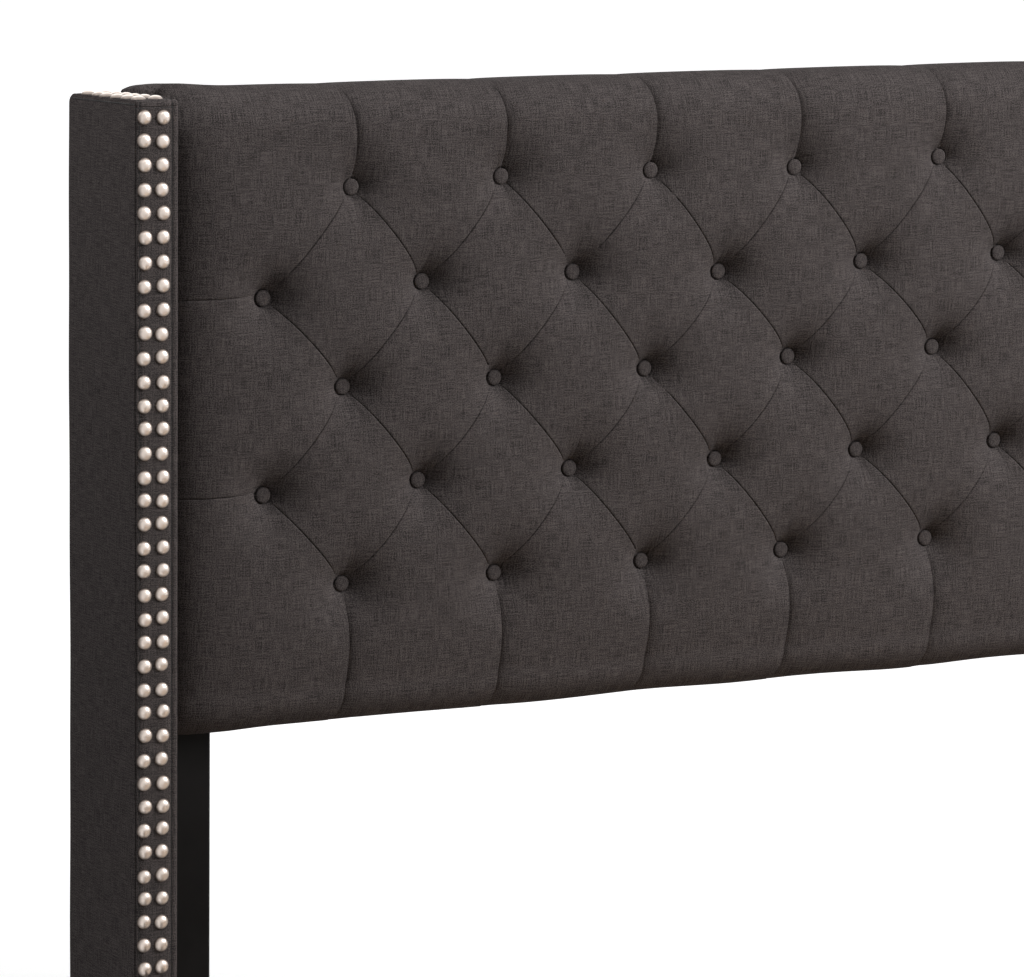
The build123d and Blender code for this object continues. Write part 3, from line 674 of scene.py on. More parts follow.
def dome(radius, rise, sides, rows, skirt=0.0, fullness=1.0):
    """A domed head that stands on Z = 0, with a short skirt under its edge.

    A fullness of 1 is round and less is squarer. The cloth map is the dome laid flat: the way from its
    crown, in metres.
    """
    bm = bmesh.new()
    profile = [(radius * 0.86, -skirt), (radius, 0.0)] if skirt else [(radius, 0.0)]
    for row in range(1, rows):
        angle = math.pi / 2 * row / rows
        profile.append((radius * math.cos(angle) ** fullness, rise * math.sin(angle) ** fullness))
    turns = [2 * math.pi * side / sides for side in range(sides)]
    rings = [
        [bm.verts.new((r * math.cos(turn), r * math.sin(turn), z)) for turn in turns] for r, z in profile
    ]
    for low, high in zip(rings, rings[1:]):
        for side in range(sides):
            after = (side + 1) % sides
            bm.faces.new((low[side], low[after], high[after], high[side]))
    crown = bm.verts.new((0, 0, rise))
    for side in range(sides):
        bm.faces.new((rings[-1][side], rings[-1][(side + 1) % sides], crown))
    bm.faces.new(rings[0][::-1])
    path, way = [0.0], [(0.0, rise)] + profile[::-1]
    for (r0, z0), (r1, z1) in zip(way, way[1:]):
        path.append(path[-1] + math.hypot(r1 - r0, z1 - z0))
    laid = {crown: (0.0, 0.0)}
    for ring, length in zip(rings[::-1], path[1:]):
        for turn, vertex in zip(turns, ring):
            laid[vertex] = (length * math.cos(turn), length * math.sin(turn))
    layer = bm.loops.layers.uv.new("cloth")
    for face in bm.faces:
        for loop in face.loops:
            loop[layer].uv = laid[loop.vert]
    return bm


# %% [markdown]
# The tufted pad is the bed's showpiece. Foam and cloth are drawn back to the plywood at thirty seven
# buttons, and the spare cloth between neighbouring buttons is folded into pleats. The cloth is laid out
# flat first: x runs across the bed and w runs up the pad's front, on over its rolled top and down behind.
# In that flat sheet the buttons form a lattice and the pleats are straight lines between them.

# %% Lay out buttons and pleats
pad_low, pad_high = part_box("tufted_pad")
pad_half = pad_high.x
pad_back = pad_high.y
pad_crown = pad_low.y
pad_top = pad_high.z
pad_bottom = pad_low.z
top_fall = 0.06
end_roll_reach = 0.037
end_roll_depth = 0.056
end_roll_limit = 0.036
tuft_depth = 0.0285
first_row_depth = 0.0205
column_gap = 0.095
row_gap = 0.110
first_row = pad_top - 0.108
seat_radius = 0.0094
button_radius = 0.0091
top_roll, bottom_roll, back_roll = 0.044, 0.038, 0.004

roll_start = pad_top - top_roll
flat_start = roll_start + top_roll * math.pi / 2
back_start = flat_start + pad_back - back_roll - (pad_crown + top_roll)
sheet_top = back_start + back_roll * math.pi / 2 + 0.006
low_roll_end = pad_bottom + bottom_roll
low_flat_end = low_roll_end - bottom_roll * math.pi / 2
low_back_end = low_flat_end - (pad_back - back_roll - (pad_crown + bottom_roll))
sheet_bottom = low_back_end - back_roll * math.pi / 2 - 0.006

chance = np.random.default_rng(7)
# millimetres by which some buttons miss the lattice, by row and number from the left
hand_slip = {
    (0, 0): (5, -1), (0, 1): (0, 4), (0, 2): (0, 4), (0, 4): (3, 6), (1, 0): (-2, -9), (1, 2): (1, 3),
    (1, 3): (0, -5), (2, 3): (-1, 3), (2, 4): (5, 4), (3, 0): (-1, -5), (4, 3): (-5, -1),
}
buttons_at = {}
for row in range(5):
    for number, column in enumerate(range(1 - row % 2, 15, 2)):
        slip = hand_slip.get((row, number), chance.uniform(-1.5, 1.5, 2))
        buttons_at[row, column] = (
            (column - 7) * column_gap + slip[0] / 1000, first_row - row * row_gap + slip[1] / 1000
        )
print(len(buttons_at), "buttons")


def pleat(start, end, fold, fold_width, valley, valley_width, fade_end=0.0, bow=0.0, curl=0.0, lean=0):
    """A fold in a valley, as numbers.

    It fades towards its end, bows to its left in the middle and curls to its left at the end. With lean one
    side laps over the other, and fold and valley both lie on its left (1) or on its right (-1).
    """
    return {
        "start": np.array(start), "end": np.array(end),
        "fold": fold, "fold_width": fold_width, "valley": valley, "valley_width": valley_width,
        "fade_end": fade_end, "bow": bow, "curl": curl, "lean": lean,
    }


pleats = []
crack = 0.00042
for (row, column), (x, w) in buttons_at.items():
    for side in (-1, 1):
        neighbour = buttons_at.get((row + 1, column + side))
        if neighbour:
            depth = 0.0021 if side > 0 else 0.0017
            bow = chance.uniform(-0.002, 0.002)
            pleats.append(pleat((x, w), neighbour, depth, crack, 0.0009, 0.010, bow=bow))
        if column + side in (-1, 15):
            pleats.append(pleat((x, w + 0.0046), (side * pad_half, w + 0.0015), 0.0019, crack, 0.0012, 0.010))
    if row == 0:
        shape = {"fade_end": 0.4, "curl": chance.uniform(0.038, 0.048), "lean": -1}
        pleats.append(pleat((x, w), (x, sheet_top), 0.0045, 0.0034, 0.0064, 0.022, **shape))
    if row == 4:
        shape = {"fade_end": 0.2, "curl": -chance.uniform(0.030, 0.042), "lean": 1}
        pleats.append(pleat((x, w), (x, sheet_bottom), 0.0050, 0.0036, 0.0075, 0.028, **shape))
main_pleats = len(pleats)

# short wrinkles that run out from some buttons
for x, w in buttons_at.values():
    for _ in range(chance.integers(1, 4)):
        angle = math.radians(chance.choice((-90, 90)) + chance.uniform(-38, 38))
        reach = chance.uniform(0.016, 0.034)
        way = np.array((math.cos(angle), math.sin(angle)))
        near = np.array((x, w)) + way * 0.012
        pleats.append(pleat(near, near + way * reach, 0.0007, 0.0008, 0.0009, 0.004, fade_end=1.0))
# the folded corner of the cover at the pad's two ends: the top laps over the end in one curved fold
corner_fold = (
    (0.0, -0.002), (0.0005, -0.032), (0.004, -0.050), (0.014, -0.0556), (0.0255, -0.059), (0.034, -0.067),
)
for side in (-1, 1):
    spots = [(side * (pad_half - inward), back_start + forward) for inward, forward in corner_fold]
    for start, end in zip(spots, spots[1:]):
        pleats.append(pleat(start, end, 0.0034, 0.0030, 0.0060, 0.012, lean=side))
print(main_pleats, "pleats and", len(pleats) - main_pleats, "wrinkles")


# %% [markdown]
# How deep each point of the sheet lies under the crown is a sum of simple rules: every button pulls the
# cloth down less and less with distance, and each pleat adds a shallow valley with a narrow fold in it.
# At the top and the foot one pillow laps over the next, so there the valley lies on one side of the fold.
# Slow random waves keep the pillows from being exact copies.


# %% How deep the cloth lies
def aside(item, share):
    """How far a pleat lies to the left of its straight line, at shares of its length."""
    return item["bow"] * 4 * share * (1 - share) + item["curl"] * share**3


def line_points(item, share):
    """Points of a pleat at shares of its length."""
    way = item["end"] - item["start"]
    left = np.array((-way[1], way[0])) / np.hypot(*way)
    share = np.asarray(share)[:, None]
    return item["start"] + way * share + left * aside(item, share)


def from_pleat(item, spots):
    """How far each spot is from the pleat, how far along it, and by how much to its left."""
    way = item["end"] - item["start"]
    length = np.hypot(*way)
    along = (spots - item["start"]) @ way / length**2
    left = np.array((-way[1], way[0])) / length
    off = (spots - item["start"]) @ left - aside(item, np.clip(along, 0, 1))
    beyond = np.maximum(np.maximum(-along, along - 1), 0) * length
    return np.hypot(off, beyond), np.clip(along, 0, 1), off


waves = [(*chance.uniform(8, 32, 2), *chance.uniform(0, 2 * math.pi, 2)) for _ in range(8)]
pull_reach = 0.0240
rim_depth, rim_width = 0.0018, 0.0008
lap_width = 0.0018
lip_depth, lip_reach = 0.006, 0.030


def cloth_depth(spots):
    x, w = spots[:, 0], spots[:, 1]
    pull = np.zeros(len(spots))
    ring = np.zeros(len(spots))
    for (row, _), (bx, bw) in buttons_at.items():
        away = np.hypot(x - bx, w - bw)
        share = 1 if row else first_row_depth / tuft_depth
        pull += share * np.exp(-np.maximum(away - seat_radius, 0) / pull_reach)
        from_rim = (away - button_radius - 0.0001) / rim_width
        ring = np.maximum(ring, rim_depth * np.exp(-(from_rim**2)))
    pull = np.clip((pull - 0.09) / 0.91, 0, 1)
    valley = np.zeros(len(spots))
    fold = np.zeros(len(spots))
    for item in pleats:
        away, along, off = from_pleat(item, spots)
        fade = 1 - item["fade_end"] * along
        lapped = np.clip(0.5 + off * item["lean"] / lap_width, 0, 1) if item["lean"] else 1.0
        sharpness = 1.0 if item["lean"] else 1.5
        hollow = np.exp(-away / item["valley_width"])
        crease = np.exp(-((away / item["fold_width"]) ** sharpness))
        valley = np.maximum(valley, item["valley"] * fade * (0.15 + 0.85 * lapped) * hollow)
        fold = np.maximum(fold, item["fold"] * fade * lapped * crease)
    drift = sum(np.sin(a * x + b) * np.sin(c * w + d) for a, c, b, d in waves) * 0.0004
    lip = lip_depth * np.exp(-np.abs(w - low_roll_end) / lip_reach)
    open_pad = (1 - np.clip((w - flat_start) / 0.03, 0, 1)) * (1 - np.clip((low_flat_end - w) / 0.03, 0, 1))
    under = np.clip((w - low_flat_end) / 0.035, 0, 1)
    depth = tuft_depth * pull + valley * under * (1 - pull) + lip * (1 - pull) + drift * (1 - pull) * open_pad
    return depth + fold * under * (1 - 0.8 * pull) + ring


# %% [markdown]
# A plain grid would need a million faces to show pleats a millimetre wide. Instead, points are laid where
# the shape changes: rings round each button, rows beside each pleat, and a loose lattice elsewhere.


# %% Points of the flat sheet
def resampled(item, step):
    count = max(2, round(float(np.hypot(*(item["end"] - item["start"]))) / step))
    return np.linspace(0, 1, count + 1)


row_offsets = (0.00045, 0.0012, 0.0024, 0.0042, 0.0072)
centre_rows, side_rows = [], []
for number, item in enumerate(pleats):
    shares = resampled(item, 0.005 if number < main_pleats else 0.003)
    middle = line_points(item, shares)
    centre_rows.append(middle)
    way = item["end"] - item["start"]
    left = np.array((-way[1], way[0])) / np.hypot(*way)
    for offset in row_offsets if number < main_pleats else row_offsets[:4]:
        side_rows += [(offset, middle + left * offset), (offset, middle - left * offset)]


def nearest(spots, goals):
    """Distance from each spot to the nearest goal, worked out in slices."""
    found = np.empty(len(spots))
    for first in range(0, len(spots), 2000):
        part = spots[first : first + 2000]
        found[first : first + 2000] = np.sqrt(((part[:, None, :] - goals[None, :, :]) ** 2).sum(2)).min(1)
    return found


def inside(spots, margin=0.0):
    x, w = spots[:, 0], spots[:, 1]
    return (np.abs(x) <= pad_half - margin) & (w >= sheet_bottom + margin) & (w <= sheet_top - margin)


spots_of_buttons = np.array(list(buttons_at.values()))
centre_points = np.concatenate(centre_rows)
edge_x = np.linspace(-pad_half, pad_half, 181)
across = [-offset for offset in row_offsets[2::-1]] + [0] + list(row_offsets[:3])
ends_x = [
    line_points(item, [1.0])[0, 0]
    for item in pleats[:main_pleats]
    if item["end"][1] in (sheet_top, sheet_bottom)
]
crease_x = np.array([x + offset for x in ends_x for offset in across])
edge_x = np.array([x for x in edge_x if np.abs(crease_x - x).min() > 0.004 or abs(x) > pad_half - 0.001])
edge_x = np.sort(np.concatenate([edge_x, crease_x]))
edge_w = np.linspace(sheet_bottom, sheet_top, 101)
ends_w = [item["end"][1] for item in pleats[:main_pleats] if abs(item["end"][0]) == pad_half]
crease_w = np.array([w + offset for w in ends_w for offset in across])
edge_w = np.array([w for w in edge_w if np.abs(crease_w - w).min() > 0.004])
edge_w = np.sort(np.concatenate([edge_w, crease_w]))
border = [(x, w) for x in edge_x for w in (sheet_bottom, sheet_top)]
border += [(x, w) for w in edge_w[1:-1] for x in (-pad_half, pad_half)]
border = np.array(border)

ring_sizes = (
    (0.006, 12), (0.0083, 28), (0.0092, 32), (0.0101, 32), (0.0118, 32), (0.0150, 32), (0.0195, 32),
    (0.0245, 32), (0.031, 36),
)
rings = []
for x, w in buttons_at.values():
    for radius, count in ring_sizes:
        angles = np.arange(count) * 2 * math.pi / count + radius * 400
        rings.append(np.stack([x + radius * np.cos(angles), w + radius * np.sin(angles)], 1))
rings = np.concatenate(rings)
rings = rings[nearest(rings, centre_points) > 0.0022]

kept_rows = []
for offset, row in side_rows:
    clear = inside(row, 0.0004)
    away = nearest(row, spots_of_buttons)
    clear &= away > (0.0115 if offset < 0.002 else 0.034)
    kept_rows.append(row[clear])
kept_rows = np.concatenate(kept_rows)
clear = inside(centre_points, 0.0004) & (nearest(centre_points, spots_of_buttons) > 0.0098)
middle_rows = centre_points[clear]

end_rows = np.array([
    (side * (pad_half - inward), w)
    for side in (-1, 1)
    for inward in (0.0012, 0.003, 0.0055, 0.009, 0.013, 0.018, 0.024, 0.031)
    for w in np.linspace(sheet_bottom + 0.003, sheet_top - 0.003, 200)
])
end_rows = end_rows[nearest(end_rows, centre_points) > 0.0025]

gap = 0.0088
lattice = np.array([
    (x + (gap / 2 if number % 2 else 0), w)
    for number, w in enumerate(np.arange(sheet_bottom + gap / 2, sheet_top - 0.003, gap * 0.866))
    for x in np.arange(-pad_half + gap / 2, pad_half - gap / 2, gap)
])
lattice = lattice[inside(lattice, 0.004) & (np.abs(lattice[:, 0]) < pad_half - 0.035)]
lattice = lattice[(nearest(lattice, centre_points) > 0.0105) & (nearest(lattice, spots_of_buttons) > 0.035)]
sheet_points = np.concatenate([border, middle_rows, rings, kept_rows, end_rows, lattice])
_, unique = np.unique(np.round(sheet_points / 0.0002).astype(int), axis=0, return_index=True)
sheet_points = sheet_points[np.sort(unique)]
print(len(sheet_points), "points in the flat sheet")


# %% [markdown]
# A Delaunay triangulation joins the points into one flat sheet. On the real pad the cloth passes over a
# rolled top edge and is fixed behind, and does much the same at the foot. A cloth simulation could drape it
# so, but would not leave the pleats in their places. Here the roll is a profile of arcs and straight runs: it
# gives each w on the sheet a place and a facing, and every point goes in from that place by its depth.


# %% Roll the sheet onto the pad's profile
def profile(w):
    """Place in y and z of the crown surface at w, and which way it faces there."""
    y, z = np.full_like(w, pad_crown), w.copy()
    ny, nz = np.full_like(w, -1.0), np.zeros_like(w)

    def arc(where, centre, radius, angle):
        y[where] = centre[0] - radius * np.cos(angle)
        z[where] = centre[1] + radius * np.sin(angle)
        ny[where] = -np.cos(angle)
        nz[where] = np.sin(angle)

    where = (w > roll_start) & (w <= flat_start)
    arc(where, (pad_crown + top_roll, roll_start), top_roll, (w[where] - roll_start) / top_roll)
    where = (w > flat_start) & (w <= back_start)
    y[where], ny[where], nz[where] = pad_crown + top_roll + w[where] - flat_start, 0, 1
    z[where] = pad_top - top_fall * (w[where] - flat_start)
    where = w > back_start
    turn = np.minimum((w[where] - back_start) / back_roll, math.pi / 2)
    back_z = pad_top - top_fall * (back_start - flat_start) - back_roll
    arc(where, (pad_back - back_roll, back_z), back_roll, math.pi / 2 + turn)
    z[where] -= np.maximum(w[where] - back_start - back_roll * math.pi / 2, 0)
    where = (w < low_roll_end) & (w >= low_flat_end)
    arc(where, (pad_crown + bottom_roll, low_roll_end), bottom_roll, (w[where] - low_roll_end) / bottom_roll)
    where = (w < low_flat_end) & (w >= low_back_end)
    y[where], ny[where], nz[where] = pad_crown + bottom_roll + low_flat_end - w[where], 0, -1
    z[where] = pad_bottom
    where = w < low_back_end
    turn = np.minimum((low_back_end - w[where]) / back_roll, math.pi / 2)
    arc(where, (pad_back - back_roll, pad_bottom + back_roll), back_roll, -math.pi / 2 - turn)
    z[where] += np.maximum(low_back_end - w[where] - back_roll * math.pi / 2, 0)
    return y, z, ny, nz


found = geometry.delaunay_2d_cdt([Vector(spot) for spot in sheet_points * 10], [], [], 0, 1e-7, False)
flat = np.array([tuple(spot) for spot in found[0]]) / 10
triangles = found[2]
depth = cloth_depth(flat)
y, z, ny, nz = profile(flat[:, 1])
fade_reach = 0.010
top_limit = np.where(flat[:, 1] > back_start, np.clip(1 - (flat[:, 1] - back_start) / fade_reach, 0, 1), 1)
past_foot = np.clip(1 - (low_flat_end - flat[:, 1]) / fade_reach, 0, 1)
low_limit = np.where(flat[:, 1] < low_flat_end, past_foot, 1)
depth = depth * top_limit * low_limit
y, z = y - ny * depth, z - nz * depth

# the pad is puffed up along its top and foot, most near the ends, and its front rolls back towards the
# plywood over the last hand's breadth beside each wing
from_end = pad_half - np.abs(flat[:, 0])
height_share = np.clip((z - roll_start) / top_roll, 0, 1)
near_end = np.exp(-((np.maximum(from_end - 0.045, 0) / 0.035) ** 2))
z += height_share * (0.0030 + 0.0034 * near_end - 0.0048 * np.clip(1 - from_end / 0.020, 0, 1) ** 2)
low_share = np.clip((low_roll_end - z) / bottom_roll, 0, 1)
over_leg = np.exp(-((np.maximum(from_end - 0.085, 0) / 0.050) ** 2))
z -= low_share * (0.0062 + 0.0042 * over_leg)
end_roll = end_roll_depth * np.exp(-from_end / end_roll_reach) + 0.0025 * np.exp(-(from_end - 0.044) / 0.010)
end_roll = np.minimum(end_roll, end_roll_limit)
y = pad_back - (pad_back - y) * (1 - end_roll / (pad_back - pad_crown))

# the cloth stays clear of the plywood that it is drawn over
core_inset = 0.012
core_front = pad_crown + tuft_depth + core_inset
core_top = pad_top - core_inset
core_bottom = pad_bottom + core_inset
past_core = np.clip(np.maximum(z - core_top, core_bottom - z) / 0.005 - 1, 0, 1)
in_front = (flat[:, 1] < flat_start) & (flat[:, 1] > low_flat_end)
y = np.where(in_front, np.minimum(y, core_front - 0.0015 + 0.05 * past_core), y)
places = np.stack([flat[:, 0], y, z], 1)
print(len(flat), "points and", len(triangles), "triangles in the pad's skin; deepest", depth.max())

# %% [markdown]
# The rolled points become the pad's skin. Three strips at its back follow the plywood that the pad is wrapped
# round, and close it into one shell.

# %% Pad's skin and back
pad_bm = bmesh.new()
skin = [pad_bm.verts.new(place) for place in places]
cloth_layer = pad_bm.loops.layers.uv.new("cloth")
spot_of = {}
for vertex, spot in zip(skin, flat):
    spot_of[vertex] = spot
for corners in triangles:
    face = pad_bm.faces.new([skin[corner] for corner in corners])
    for loop in face.loops:
        loop[cloth_layer].uv = spot_of[loop.vert]

rim = [edge for edge in pad_bm.edges if edge.is_boundary]
low_rim = [edge for edge in rim if all(abs(spot_of[end][1] - sheet_bottom) < 1e-5 for end in edge.verts)]
high_rim = [edge for edge in rim if all(abs(spot_of[end][1] - sheet_top) < 1e-5 for end in edge.verts)]
moving = high_rim
for goal_y, goal_z in ((core_front, core_top), (core_front, core_bottom), (pad_back, core_bottom)):
    made = bmesh.ops.extrude_edge_only(pad_bm, edges=moving)["geom"]
    moving = [item for item in made if isinstance(item, bmesh.types.BMEdge)]
    for vertex in {end for edge in moving for end in edge.verts}:
        vertex.co.y, vertex.co.z = goal_y, goal_z
bmesh.ops.remove_doubles(
    pad_bm, verts=list({end for edge in moving + low_rim for end in edge.verts}), dist=0.00004
)
bmesh.ops.holes_fill(pad_bm, edges=[edge for edge in pad_bm.edges if edge.is_boundary], sides=0)
open_edges = sum(edge.is_boundary for edge in pad_bm.edges)
bmesh.ops.recalc_face_normals(pad_bm, faces=pad_bm.faces)
pad_mesh = mesh_from("tufted_headboard_pad", pad_bm, 42)
pad = new_piece("tufted_headboard_pad", pad_mesh, cover_linen)
print("open edges left in the pad:", open_edges, "of", len(pad_mesh.edges))
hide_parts("tufted_pad")
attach(pad, "bed_frame")

# %% [markdown]
# Each button is a shell covered in the same linen: a low dome with its edge tucked under. One dome is made
# and a tree copies it to the thirty seven seats, with a random turn of the weave and slightly uneven sizes.

# %% Buttons
button_template = template_of("button", dome(button_radius, 0.0024, 28, 8, skirt=0.0016, fullness=0.75))
button_marks = []
for (row, _), (x, w) in buttons_at.items():
    seat = tuft_depth if row else first_row_depth
    button_marks.append(((x, pad_crown + seat - 0.0006, w), (0, -1, 0), (0, 0, 1)))
buttons = pieces_at(
    "linen_buttons", button_marks, button_template, cover_linen, turn=0.5, spread=0.05, seed=3
)
bpy.data.objects.remove(button_template)
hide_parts("tuft_buttons")
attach(buttons, "bed_frame")
print(len(buttons.data.polygons), "faces in the buttons")

# %% [markdown]
# A wing is a board in thin foam, with a stitched band round its front, top and back edge. Its cover is
# joined from rings that start in the middle of the outer side, pass the corner seam, cross the band with its
# two stitched grooves and end in the middle of the inner side, which lies flat against the pad.

# %% Wing covers
wing_low, wing_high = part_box("right_wing_cover")
band_seams = (0.0049, 0.0427)
cross_seam_drop = 0.0072
side_seam_drop = 0.0045
top_sag = 0.0052
inner_sag = 0.0020
half_depth = (wing_high.y - wing_low.y) / 2


def sagged(x, y, z):
    """The wing's top is a little lower at the back and beside the pad, where its foam is thinner."""
    if z < wing_high.z - 0.1:
        return z
    back = (y - wing_low.y) / (2 * half_depth)
    inward = (wing_high.x - abs(x)) / (wing_high.x - wing_low.x)
    return z - (top_sag * back + inner_sag * inward * back) * (1 - (wing_high.z - z) / 0.1)


def wing_rings():
    """For each ring, how far it lies inside the cover's edges, and its x."""
    outer, inner = wing_high.x, wing_low.x
    first_seam, second_seam = outer - band_seams[0], outer - band_seams[1]
    rings = [
        (half_depth, outer + 0.0014), (0.060, outer + 0.0013), (0.030, outer + 0.0009),
        (0.014, outer + 0.0005), (0.0060, outer), (0.0032, outer - 0.0002), (0.0021, outer - 0.0007),
        (0.0026, outer - 0.0019), (0.0008, outer - 0.0023), (0.0002, outer - 0.0031),
        (0.0001, first_seam + 0.0007), (0.0009, first_seam), (0.0001, first_seam - 0.0008),
        (-0.0003, outer - 0.012), (-0.0004, outer - 0.025), (-0.0003, outer - 0.036),
        (0.0001, second_seam + 0.0008), (0.0010, second_seam), (0.0002, second_seam - 0.0008),
    ]
    edge = 0.0046
    for step in range(6):
        angle = math.pi / 2 * step / 5
        rings.append((edge * (1 - math.cos(angle)), inner + edge * (1 - math.sin(angle))))
    rings += [(0.020, inner), (half_depth, inner)]
    return rings


def wing_cover(name, side, node):
    loops = []
    stops_y = np.linspace(wing_low.y, wing_high.y, 13)[1:-1]
    stops_z = list(np.linspace(wing_low.z, wing_high.z, 91)[1:-1])
    stops_z += [wing_high.z - cross_seam_drop + rise for rise in (-0.0007, 0, 0.0007)]
    for inset, x in wing_rings():
        base = max(inset, 0)
        radii = [max(radius - base, 0) for radius in (0.004, 0.011, 0.0045, 0.004)]
        loop = rounded_loop(
            wing_low.y + inset, wing_high.y - inset, wing_low.z + base, wing_high.z - inset,
            radii, stops_y, stops_z,
        )
        loops.append([(side * x, y, sagged(x, y, z)) for y, z in loop])
    bm = join_loops(loops, closed_ends=False)
    for vertex in bm.verts:
        x, y, z = vertex.co
        on_band = y < wing_low.y + 0.002 and abs(x) < wing_high.x - 0.0025
        if on_band and abs(z - (wing_high.z - cross_seam_drop)) < 0.0004:
            vertex.co.y += 0.0009
        if abs(x) > wing_high.x - 0.003:
            vertex.co.x += side * (0.0004 * math.sin(9 * z + 2 * side) + 0.0002 * math.sin(31 * z))
    cover = new_piece(name, mesh_from(name, bm, 50, cloth=True), cover_linen)
    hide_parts(node)
    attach(cover, "bed_frame")
    return cover


left_wing = wing_cover("left_wing_linen", -1, "left_wing_cover")
wing_cover("right_wing_linen", 1, "right_wing_cover")
print(len(left_wing.data.polygons), "faces in a wing's cover")

# %% [markdown]
# The band is top-stitched along both edges, and a cross seam joins its top piece to the front one. The
# stitches are short dark cylinders half sunk in the cloth, laid by the stitch tree along plain lines.


# %% Stitches on the wings
def wing_stitches(name, side):
    lines = []
    front, back, top, bottom = wing_low.y, wing_high.y, wing_high.z, wing_low.z + 0.004
    for seam in band_seams:
        x = side * (wing_high.x - seam)
        lines.append([(x, front + 0.0004, bottom), (x, front + 0.0004, top - 0.004)])
        lines.append([(x, front + 0.004, top - 0.0004), (x, back - 0.010, sagged(x, back, top) - 0.0004)])
        lines.append([(x, back - 0.0004, top - 0.018), (x, back - 0.0004, bottom)])
    inner, outer = wing_high.x - band_seams[1], wing_high.x - 0.001
    cross_height = top - cross_seam_drop - 0.0012
    lines.append([(side * inner, front, cross_height), (side * outer, front, cross_height)])
    x = side * (wing_high.x + 0.0001)
    lines.append([
        (x, front + 0.003, top - side_seam_drop),
        (x, back - 0.012, sagged(wing_high.x, back, top) - side_seam_drop),
    ])
    thread = stitches(name, lines)
    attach(thread, "bed_frame")
    return thread


for side, name in ((-1, "left_wing_stitches"), (1, "right_wing_stitches")):
    print(len(wing_stitches(name, side).data.polygons), "faces in", name)

# %% [markdown]
# The nails are pewter domes nearly 17 mm across, an inch apart, in two columns down each wing's front band
# and back over its top. They are hammered in by eye, so the tree slips each one up to a millimetre each way.

# %% Decorative nails
nail_radius = 0.0083
nail_rise = 0.0051
nail_pitch = 0.0254
first_nail = 0.018
top_nails = 6
nail_template = template_of("nail", dome(nail_radius, nail_rise, 20, 6, skirt=0.0004))
nails_low, nails_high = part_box("right_wing_nails")
nail_columns = (nails_low.x + 0.0092, nails_high.x - 0.0092)
nail_count = 1 + round((wing_high.z - first_nail - (nails_low.z + 0.008)) / nail_pitch)
print(nail_count, "nails in a column")
for side, name, node in (
    (-1, "left_wing_nail_heads", "left_wing_nails"),
    (1, "right_wing_nail_heads", "right_wing_nails"),
):
    marks = []
    for column in nail_columns:
        for number in range(nail_count):
            height = wing_high.z - first_nail - number * nail_pitch
            marks.append(((side * column, wing_low.y + 0.0001, height), (0, -1, 0), (0, 0, 1)))
        for number in range(top_nails):
            back = wing_low.y + first_nail + number * nail_pitch
            height = sagged(column, back, wing_high.z) - 0.0009
            marks.append(((side * column, back, height), (0, 0, 1), (0, 1, 0)))
    heads = pieces_at(name, marks, nail_template, pewter, slip=0.0011, turn=3.1, spread=0.03, seed=11 + side)
    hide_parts(node)
    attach(heads, "bed_frame")
bpy.data.objects.remove(nail_template)

# %% [markdown]
# The side rails are boards in thin foam. Their covers are a C in section, swept from the headboard to the
# footboard: round over the top, down 60 mm inside, and turned under at the bottom. Slow waves along the
# sweep keep the padded face from being dead flat.


# %% Side rail covers
def rail_cover(name, side, node):
    low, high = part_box("right_rail_cover")
    core_low, core_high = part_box("right_rail_core")
    wrap_low = high.z - 0.060
    wrap = low.x
    under_edge, top_edge = 0.003, 0.008
    turns = (0.0, 0.4, 0.8, 1.2, 1.57)
    outline = [(core_low.x, low.z), (high.x - under_edge, low.z)]
    outline += [
        (high.x - under_edge + under_edge * math.sin(turn), low.z + under_edge - under_edge * math.cos(turn))
        for turn in (0.5, 1.05, 1.57)
    ]
    face_height = high.z - low.z - (under_edge + top_edge)
    shares = (0.04, 0.12, 0.3, 0.5, 0.7, 0.86, 0.95)
    outline += [(high.x, low.z + under_edge + face_height * share) for share in shares]
    outline += [
        (high.x - top_edge * (1 - math.cos(turn)), high.z - top_edge * (1 - math.sin(turn))) for turn in turns
    ]
    outline += [(high.x + (wrap - high.x) * share, high.z) for share in (0.4, 0.6)]
    outline += [
        (wrap + top_edge * (1 - math.sin(turn)), high.z - top_edge * (1 - math.cos(turn))) for turn in turns
    ]
    outline += [
        (wrap, wrap_low + 0.030), (wrap, wrap_low + 0.001), (wrap + 0.001, wrap_low), (core_low.x, wrap_low),
        (core_low.x, core_high.z), (core_high.x, core_high.z), (core_high.x, core_low.z),
        (core_low.x, core_low.z),
    ]
    loops = []
    steps = 140
    for step in range(steps + 1):
        y = low.y + (high.y - low.y) * step / steps
        loop = []
        for x, z in outline:
            if x > high.x - 0.0005:
                middle = 4 * (z - low.z) * (high.z - z) / (high.z - low.z) ** 2
                x += middle * (0.0014 + 0.0006 * math.sin(7 * y + side) + 0.0004 * math.sin(23 * y + 3 * z))
            loop.append((side * x, y, z))
        loops.append(loop)
    cover = new_piece(name, mesh_from(name, join_loops(loops), 50, cloth=True), cover_linen)
    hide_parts(node)
    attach(cover, "bed_frame")
    return cover


rail_cover("left_rail_linen", -1, "left_rail_cover")
rail_cover("right_rail_linen", 1, "right_rail_cover")

# %% [markdown]
# The footboard's cover is made of rings as the wings' are: from the middle of its padded front, round the
# soft edge, back along the sides and in behind the plywood. A thin strip inside its top edge is the cloth
# that wraps over to the mattress side.

# %% Footboard cover
foot_low, foot_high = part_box("footboard_cover")
foot_core_low, foot_core_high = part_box("footboard_panel")
foot_frame_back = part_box("footboard_rails")[1].y


